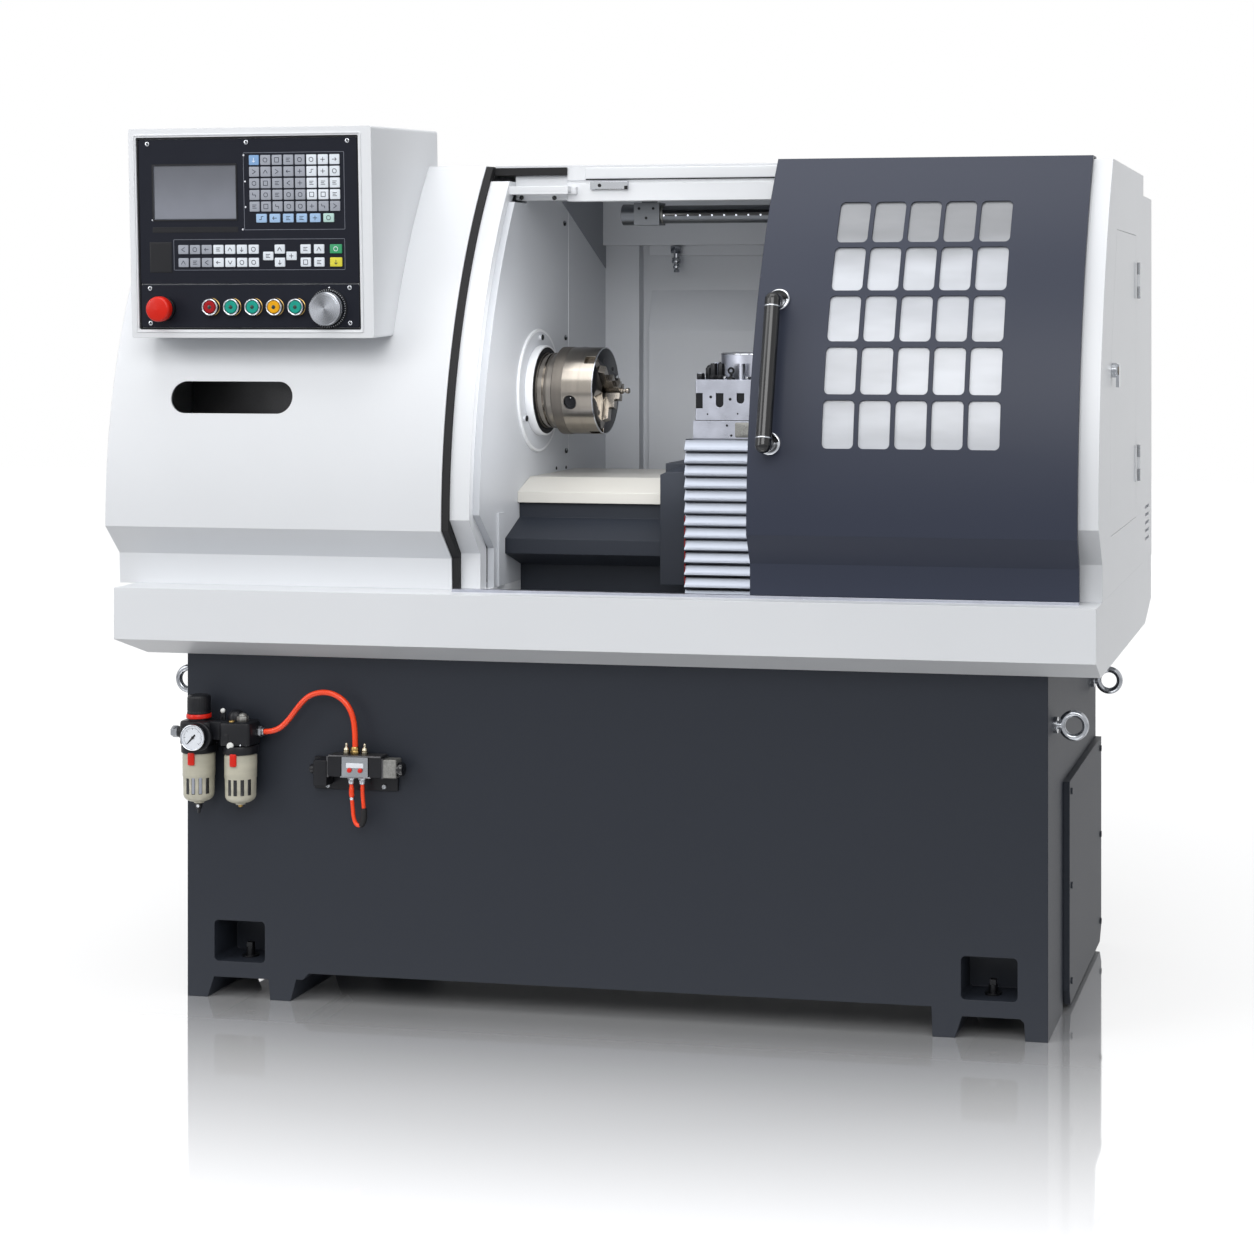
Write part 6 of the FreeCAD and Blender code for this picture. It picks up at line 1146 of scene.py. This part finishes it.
def headerTrim():
    # the ledge over the doorway's corner, the guide block and the folded lip along the header
    header = {"face": 197.0, "ledge": (-249, -124, 1475, 1491), "left": -99.5, "right": 289.5}
    x0, x1, z0, z1 = header["ledge"]
    face = header["face"]
    makePiece("cornerLedge", join(barBetween((x0, face - 28, z0 + 5), (x1, face - 2, z1 - 1), 1.0, 2.0),
                                  barBetween((x0 + 1, face - 28, z0), (x1 - 1, face - 25, z0 + 6), 0.6,
                                             1.0)), "whiteCoat")
    makePiece("guideBlock", spread(turnTo(tile(72.8, 15, [(0, -1), (0, 6), (0.8, 7)], 1.4), "front"),
                                   [(-52.3, face, 1491.5)]), "chrome")
    makePiece("guideScrew", spread(turnTo(screwHead(3.4, 1.4), "front"), [(-70, face - 7, 1491.5)]),
              "blackOxide")
    makePiece("guideStop", spread(turnTo(tile(6, 6.4, [(0, 0), (0, 3), (0.6, 3.6)], 1), "front"),
                                  [(-18.5, face - 6.6, 1487.2)]), "blackOxide")
    holes = turnTo(domeHead(4.4, 1.0), "front")
    makePiece("ledgeHoles", spread(holes, [(-224.6, face, 1470.4), (-160.2, face, 1469.4)]), "glossBlack")
    run = header["right"] - header["left"]
    middle = header["left"] + run / 2
    lip = tile(run, 21, [(0, -1), (0, 1.4), (0.8, 2.4), (3, 2.6)], 1.5)
    makePiece("headerLip", spread(turnTo(lip, "front"), [(middle, face, 1514.5)]), "whiteCoat")
    # a dark strip just under the lip: painted shade under its edge
    shade = tile(run - 1, 2.4, [(0, -1), (0, 0.6), (0.3, 0.8)], 0.4)
    makePiece("headerLipShadow", spread(turnTo(shade, "front"), [(middle, face, 1503)]), "rubber")


def workLight():
    # a dark slot along the lamp's tube with a row of diodes, and the screws of its end block
    lamp = {"start": 20.0, "end": 456.0, "y": 300.0, "z": 1441.0, "radius": 17.0, "diodes": 19, "turn": -8}
    slot = tile(11.5, lamp["end"] - lamp["start"], [(0, -1.4), (0, 0.5), (0.6, 0.8)], 1.0)
    points, faces = wrapOnto(slot, lamp["radius"], 0)
    tilt = math.radians(lamp["turn"])
    spin = np.array([[math.cos(tilt), math.sin(tilt), 0], [-math.sin(tilt), math.cos(tilt), 0], [0, 0, 1]])
    flat = points @ spin
    turned = np.column_stack([flat[:, 2], flat[:, 1], -flat[:, 0]])
    middle = [((lamp["start"] + lamp["end"]) / 2, lamp["y"], lamp["z"])]
    makePiece("lampSlot", spread((turned, faces), middle), "glossBlack")
    x = np.linspace(lamp["start"] + 6, lamp["end"] - 6, lamp["diodes"])
    reach = lamp["radius"] + 0.6
    spots = np.column_stack([x, np.full(len(x), lamp["y"] - reach * math.cos(tilt)),
                             np.full(len(x), lamp["z"] + reach * math.sin(tilt))])
    makePiece("lampDiodes", spread(turnTo(lathed([(0, -0.3), (1.7, -0.3), (1.7, 0.2), (1.1, 0.8), (0, 1.0)],
                                                 10), "front"),
                                   spots), "diode")
    ring = turnTo(lathed([(15, 0), (17.6, 0), (18, 0.8), (18, 4.2), (17.6, 5), (15, 5)], 48, True), "right")
    makePiece("lampRings", spread(ring, [(18, lamp["y"], lamp["z"]), (453, lamp["y"], lamp["z"])]),
              "castGrey")
    pins = [(-22, 280, 1452), (-8, 280, 1434), (6, 280, 1452)]
    makePiece("lampBlockPins", spread(turnTo(screwHead(2.6, 1.4), "front"), pins), "blackOxide")


def turretTrim():
    # clamp bolts of four kinds in the notches and over the plate, repeated on all four sides; the black
    # fill lining each notch is partly its bolt and partly painted shade inside the notch
    turret = {"x": 239.0, "y": 182.0, "half": 95.0, "top": 1134.0, "plate": 24.0,
              "offsets": (-87.5, -49.4, -10.8, 27.8), "drops": (0, 2, 9, 16)}
    top, half = turret["top"], turret["half"]
    under = top - turret["plate"]
    black, bright, caps = [], [], []
    for offset, drop in zip(turret["offsets"], turret["drops"]):
        low = under - 28 + drop
        if drop:
            arc = np.linspace(np.pi, 2 * np.pi, 12)
            outline = np.concatenate([np.column_stack([6.7 * np.cos(arc), low + 7 + 6.7 * np.sin(arc)]),
                                      [(6.7, under - 0.3), (-6.7, under - 0.3)]])
        else:
            outline = np.array([(-6.9, low + 0.3), (6.2, low + 0.3), (6.2, under - 8), (7.2, under - 7),
                                (7.2, under - 0.3), (-6.9, under - 0.3)])
        # each notch is lined with a black fill: partly its bolt, partly painted shade inside the notch
        points, faces = slab(outline, -20.0, -1.6, 0.5)
        front = turnTo((points - (0, outline[:, 1].mean(), 0), faces), "front")
        black.append(spread(front, [(offset, -half, outline[:, 1].mean())]))
    squat = lathed([(0, 0), (6.8, 0), (7.2, 1), (7.2, 9.4), (6.4, 10.6), (3.4, 10.6), (3.2, 7), (0, 7)], 28)
    tall = join(hexNut(14.6, 8), lathed([(0, 7.5), (6.2, 7.5), (6.4, 9), (6.4, 27.4), (5.4, 29.2),
                                         (3.2, 29.2), (3, 25), (0, 25)], 28))
    eye = join(lathed([(0, 0), (7.4, 0), (7.0, 3), (3.0, 5.6), (2.7, 11), (0, 11)], 24),
               spread(turnTo(lathed([(3.2, -1.6), (6.4, -1.6), (6.8, 0), (6.4, 1.6), (3.2, 1.6), (2.8, 0)],
                                    24, True), "front"),
                      [(0, 0, 16)]))
    knob = lathed([(0, 0), (6.6, 0), (6.6, 6), (8.6, 9), (9, 14), (8.6, 19), (7, 23), (4, 25.2), (0, 25.8)],
                  36)
    row, seat = -half + 10.5, top + 0.2
    for shape, offset in ((squat, -87.5), (tall, -63), (tall, -49.4), (eye, -31), (knob, 27.8)):
        black.append(spread(shape, [(offset, row, seat)]))
    black.append(spread(squat, [(-76, row + 12, seat)], [(0.8, 0.8, 2.0)]))
    nut = hexNut(9.5, 5.5)
    bright.append(spread(nut, [(-40, row - 3, seat), (-10.8, row, seat), (2, row - 4, seat),
                               (42, row - 3, seat)]))
    bright.append(spread(lathed([(0, 0), (4.4, 0), (4.8, 9), (3.6, 13), (0, 14)], 24), [(14, row, seat)]))
    caps.append(spread(turnTo(screwHead(2.6, 0.8), "front"), [(-66, -half, under - 7),
                                                              (-30, -half, under - 11),
                                                              (9, -half, under - 8)]))
    caps.append(spread(turnTo(lathed([(0, 0), (1.5, 0), (1.5, 0.5), (0, 0.6)], 14), "front"),
                       [(-72, -half, under - 38), (-16, -half, under - 37), (40, -half, under - 38)]))
    middle = np.array([turret["x"], turret["y"], 0])
    for name, shapes, finish in (("turretBoltsAndNotchShade", black, "blackOxide"), ("turretNuts", bright, "chrome"),
                                 ("turretScrews", caps, "blackOxide")):
        points, faces = join(*shapes)
        sides = []
        for quarter in range(4):
            c, s = round(math.cos(quarter * math.pi / 2)), round(math.sin(quarter * math.pi / 2))
            sides.append((points @ np.array([[c, s, 0], [-s, c, 0], [0, 0, 1]]) + middle, faces))
        makePiece(name, join(*sides), finish, "turret")
    x, y, proud = turret["x"], turret["y"], half + 0.2
    seam = barBetween((x - proud, y - proud, 1059.2), (x + proud, y + proud, 1061.4), 0.3, 2.0)
    makePiece("turretSeam", seam, "blackOxide", "cross slide")
    patch = tile(104, 27, [(0, -1), (0, 0.4), (0.8, 0.9)], 3)
    makePiece("castPatch", spread(turnTo(patch, "front"), [(x + 32, y - half - 3, 1044)]), "castGrey",
              "cross slide")
    pits = [(204, 84, 1052), (212, 84, 1034), (256, 84, 1036), (262, 84, 1044), (310, 84, 1052)]
    makePiece("castPits", spread(turnTo(domeHead(2.2, 1.4), "front"), pits), "blackOxide", "cross slide")
    rim = lathed([(66, 0), (70.6, 0), (71.0, 0.9), (70.6, 2.2), (68.6, 3.2), (66, 3)], 80, True)
    makePiece("capRim", spread(rim, [(x, y, top + 44.3)]), "chrome", "cross slide")
    makePiece("capPlug", spread(screwHead(9, 2.4, 0.55), [(x, y, top + 47.3)]), "blackOxide", "cross slide")


def doorTrim():
    # bright flanges where the handle meets the door, thin rings at both ends of its grip; the door's
    # face is an arc about a level line: y = arcY - sqrt(radius^2 - (z - arcZ)^2)
    handle = {"x": 313.5, "ends": (1026.0, 1276.5), "reach": 46.0, "arcY": 1040, "arcZ": 870,
              "arcRadius": 1086, "ringIn": 12}
    rises = np.array(handle["ends"]) - handle["arcZ"]
    depths = handle["arcY"] - np.sqrt(handle["arcRadius"] ** 2 - rises ** 2)
    flange = lathed([(13.4, -0.5), (20.0, -0.5), (20.4, 0.8), (20.2, 4.6), (19.0, 6.0), (16.2, 6.6),
                     (13.4, 6.2)], 56, True)
    flanges = []
    for depth, rise, z in zip(depths, rises, handle["ends"]):
        s = rise / handle["arcRadius"]
        c = math.sqrt(1 - s * s)
        lean = np.array([[1, 0, 0], [0, s, c], [0, -c, s]])
        flanges.append(spread((flange[0] @ lean, flange[1]), [(handle["x"], depth, z)]))
    makePiece("handleFlanges", join(*flanges), "chrome", "sliding door")
    low, high = [np.array([handle["x"], depth - handle["reach"], z]) for depth, z in zip(depths,
                                                                                         handle["ends"])]
    run = (high - low) / np.linalg.norm(high - low)
    lean = np.array([[1, 0, 0], [0, run[2], -run[1]], [0, run[1], run[2]]])
    collar = lathed([(13.4, -1.2), (14.5, -1.2), (14.8, -0.6), (14.8, 0.6), (14.5, 1.2), (13.4, 1.2)], 56,
                    True)
    grips = spread((collar[0] @ lean, collar[1]), [low + run * handle["ringIn"],
                                                   high - run * handle["ringIn"]])
    makePiece("gripRings", grips, "chrome", "sliding door")


def slatTrim():
    # a red plastic edge down the slat apron's left side
    slat = {"low": 760.0, "high": 890.0, "proud": 0.15}
    left, front = nodeBox("slat_apron")[0][:2]
    low, high = (left - slat["proud"], front + 3, slat["low"]), (left + 0.8, front + 9, slat["high"])
    makePiece("apronEdge", barBetween(low, high, 0.3, 0.6), "redPlastic", "cross slide")


def sideTrim():
    # the lock's face and its keyhole
    low, high = nodeBox("side_door_latch")
    y, z = (low[1] + high[1]) / 2, (low[2] + high[2]) / 2
    lock = turnTo(lathed([(0, -2), (9.4, -2), (9.6, -0.6), (8.4, 0.5), (5.4, 0.8), (5.2, 0.3), (0, 0.3)],
                         36), "right")
    makePiece("latchLock", spread(lock, [(high[0] - 1.0, y, z + 8)]), "mattSteel", "service door latch")
    key = spread(turnTo(tile(1.6, 7, [(0, -0.6), (0, 0.2), (0.2, 0.35)], 0.7), "right"),
                 [(high[0] - 0.7, y, z + 8)])
    makePiece("latchKeyhole", key, "blackOxide", "service door latch")


def rearTrim():
    # screws round the rear cabinet and pressed louvres: each is a hood whose depth follows the
    # cube root of sin(pi s) along its length and sin(pi t / 2) down to its open lower edge
    rear = {"columns": (-330.0, 430.0), "rows": 9, "low": 1010.0, "pitch": 30.0, "width": 230.0, "deep": 5.0}
    low, high = nodeBox("rear_cabinet")
    screw = turnTo(screwHead(5.5, 2.6), "rear")
    along = np.linspace(low[0] + 26, high[0] - 26, 7)
    spots = [(x, high[1] - 2.7, z) for x in along for z in (1466, 785)]
    makePiece("cabinetScrews", spread(screw, spots), "zinc")
    s, t = np.meshgrid(np.linspace(0, 1, 25), np.linspace(0, 1, 7), indexing="ij")
    swell = np.cbrt(np.sin(np.pi * s)) * np.sin(np.pi * t / 2) * rear["deep"]
    front = np.stack([(s - 0.5) * rear["width"], swell, -18 * t], -1)
    inner = np.stack([front[..., 0], np.maximum(swell - 1.0, -0.6), front[..., 2]], -1)
    loop = np.concatenate([front, inner[:, ::-1]], 1)
    shell = (loop.reshape(-1, 3), gridFaces(*loop.shape[:2]))
    spots = [(x, high[1] - 6.0, rear["low"] + rear["pitch"] * k) for x in rear["columns"]
             for k in range(rear["rows"])]
    makePiece("cabinetLouvres", spread(shell, spots), "whiteCoat")


def coolantTap():
    # a hexagon under the ceiling, a ball joint and a flared nozzle
    low, high = nodeBox("coolant_tap")
    middle = [((low[0] + high[0]) / 2, (low[1] + high[1]) / 2, low[2])]
    tall = high[2] - low[2]
    body = join(spread(hexNut(22, 15), [(0, 0, tall - 17)]), spread(hexNut(17, 7), [(0, 0, tall - 33)]),
                lathed([(0, tall - 40), (6, tall - 40), (9.2, tall - 37), (10, tall - 33), (9.2, tall - 29),
                        (6.2, tall - 26), (6.2, tall - 16), (0, tall - 16)], 36),
                lathed([(0, 0), (5.4, 0), (6.4, 1.4), (5.2, 6), (7.6, 9), (7.6, 13), (4.6, tall - 40),
                        (4.6, tall - 36), (0, tall - 36)], 32))
    makePiece("tapBody", spread(body, middle), "chrome", standsFor=("coolant_tap",))


coolantTap()
chuckTrim()
jawTrim()
wallTrim()
headerTrim()
workLight()
print("chamber dressed")
turretTrim()
doorTrim()
slatTrim()
sideTrim()
rearTrim()
print("door, turret and sides dressed")
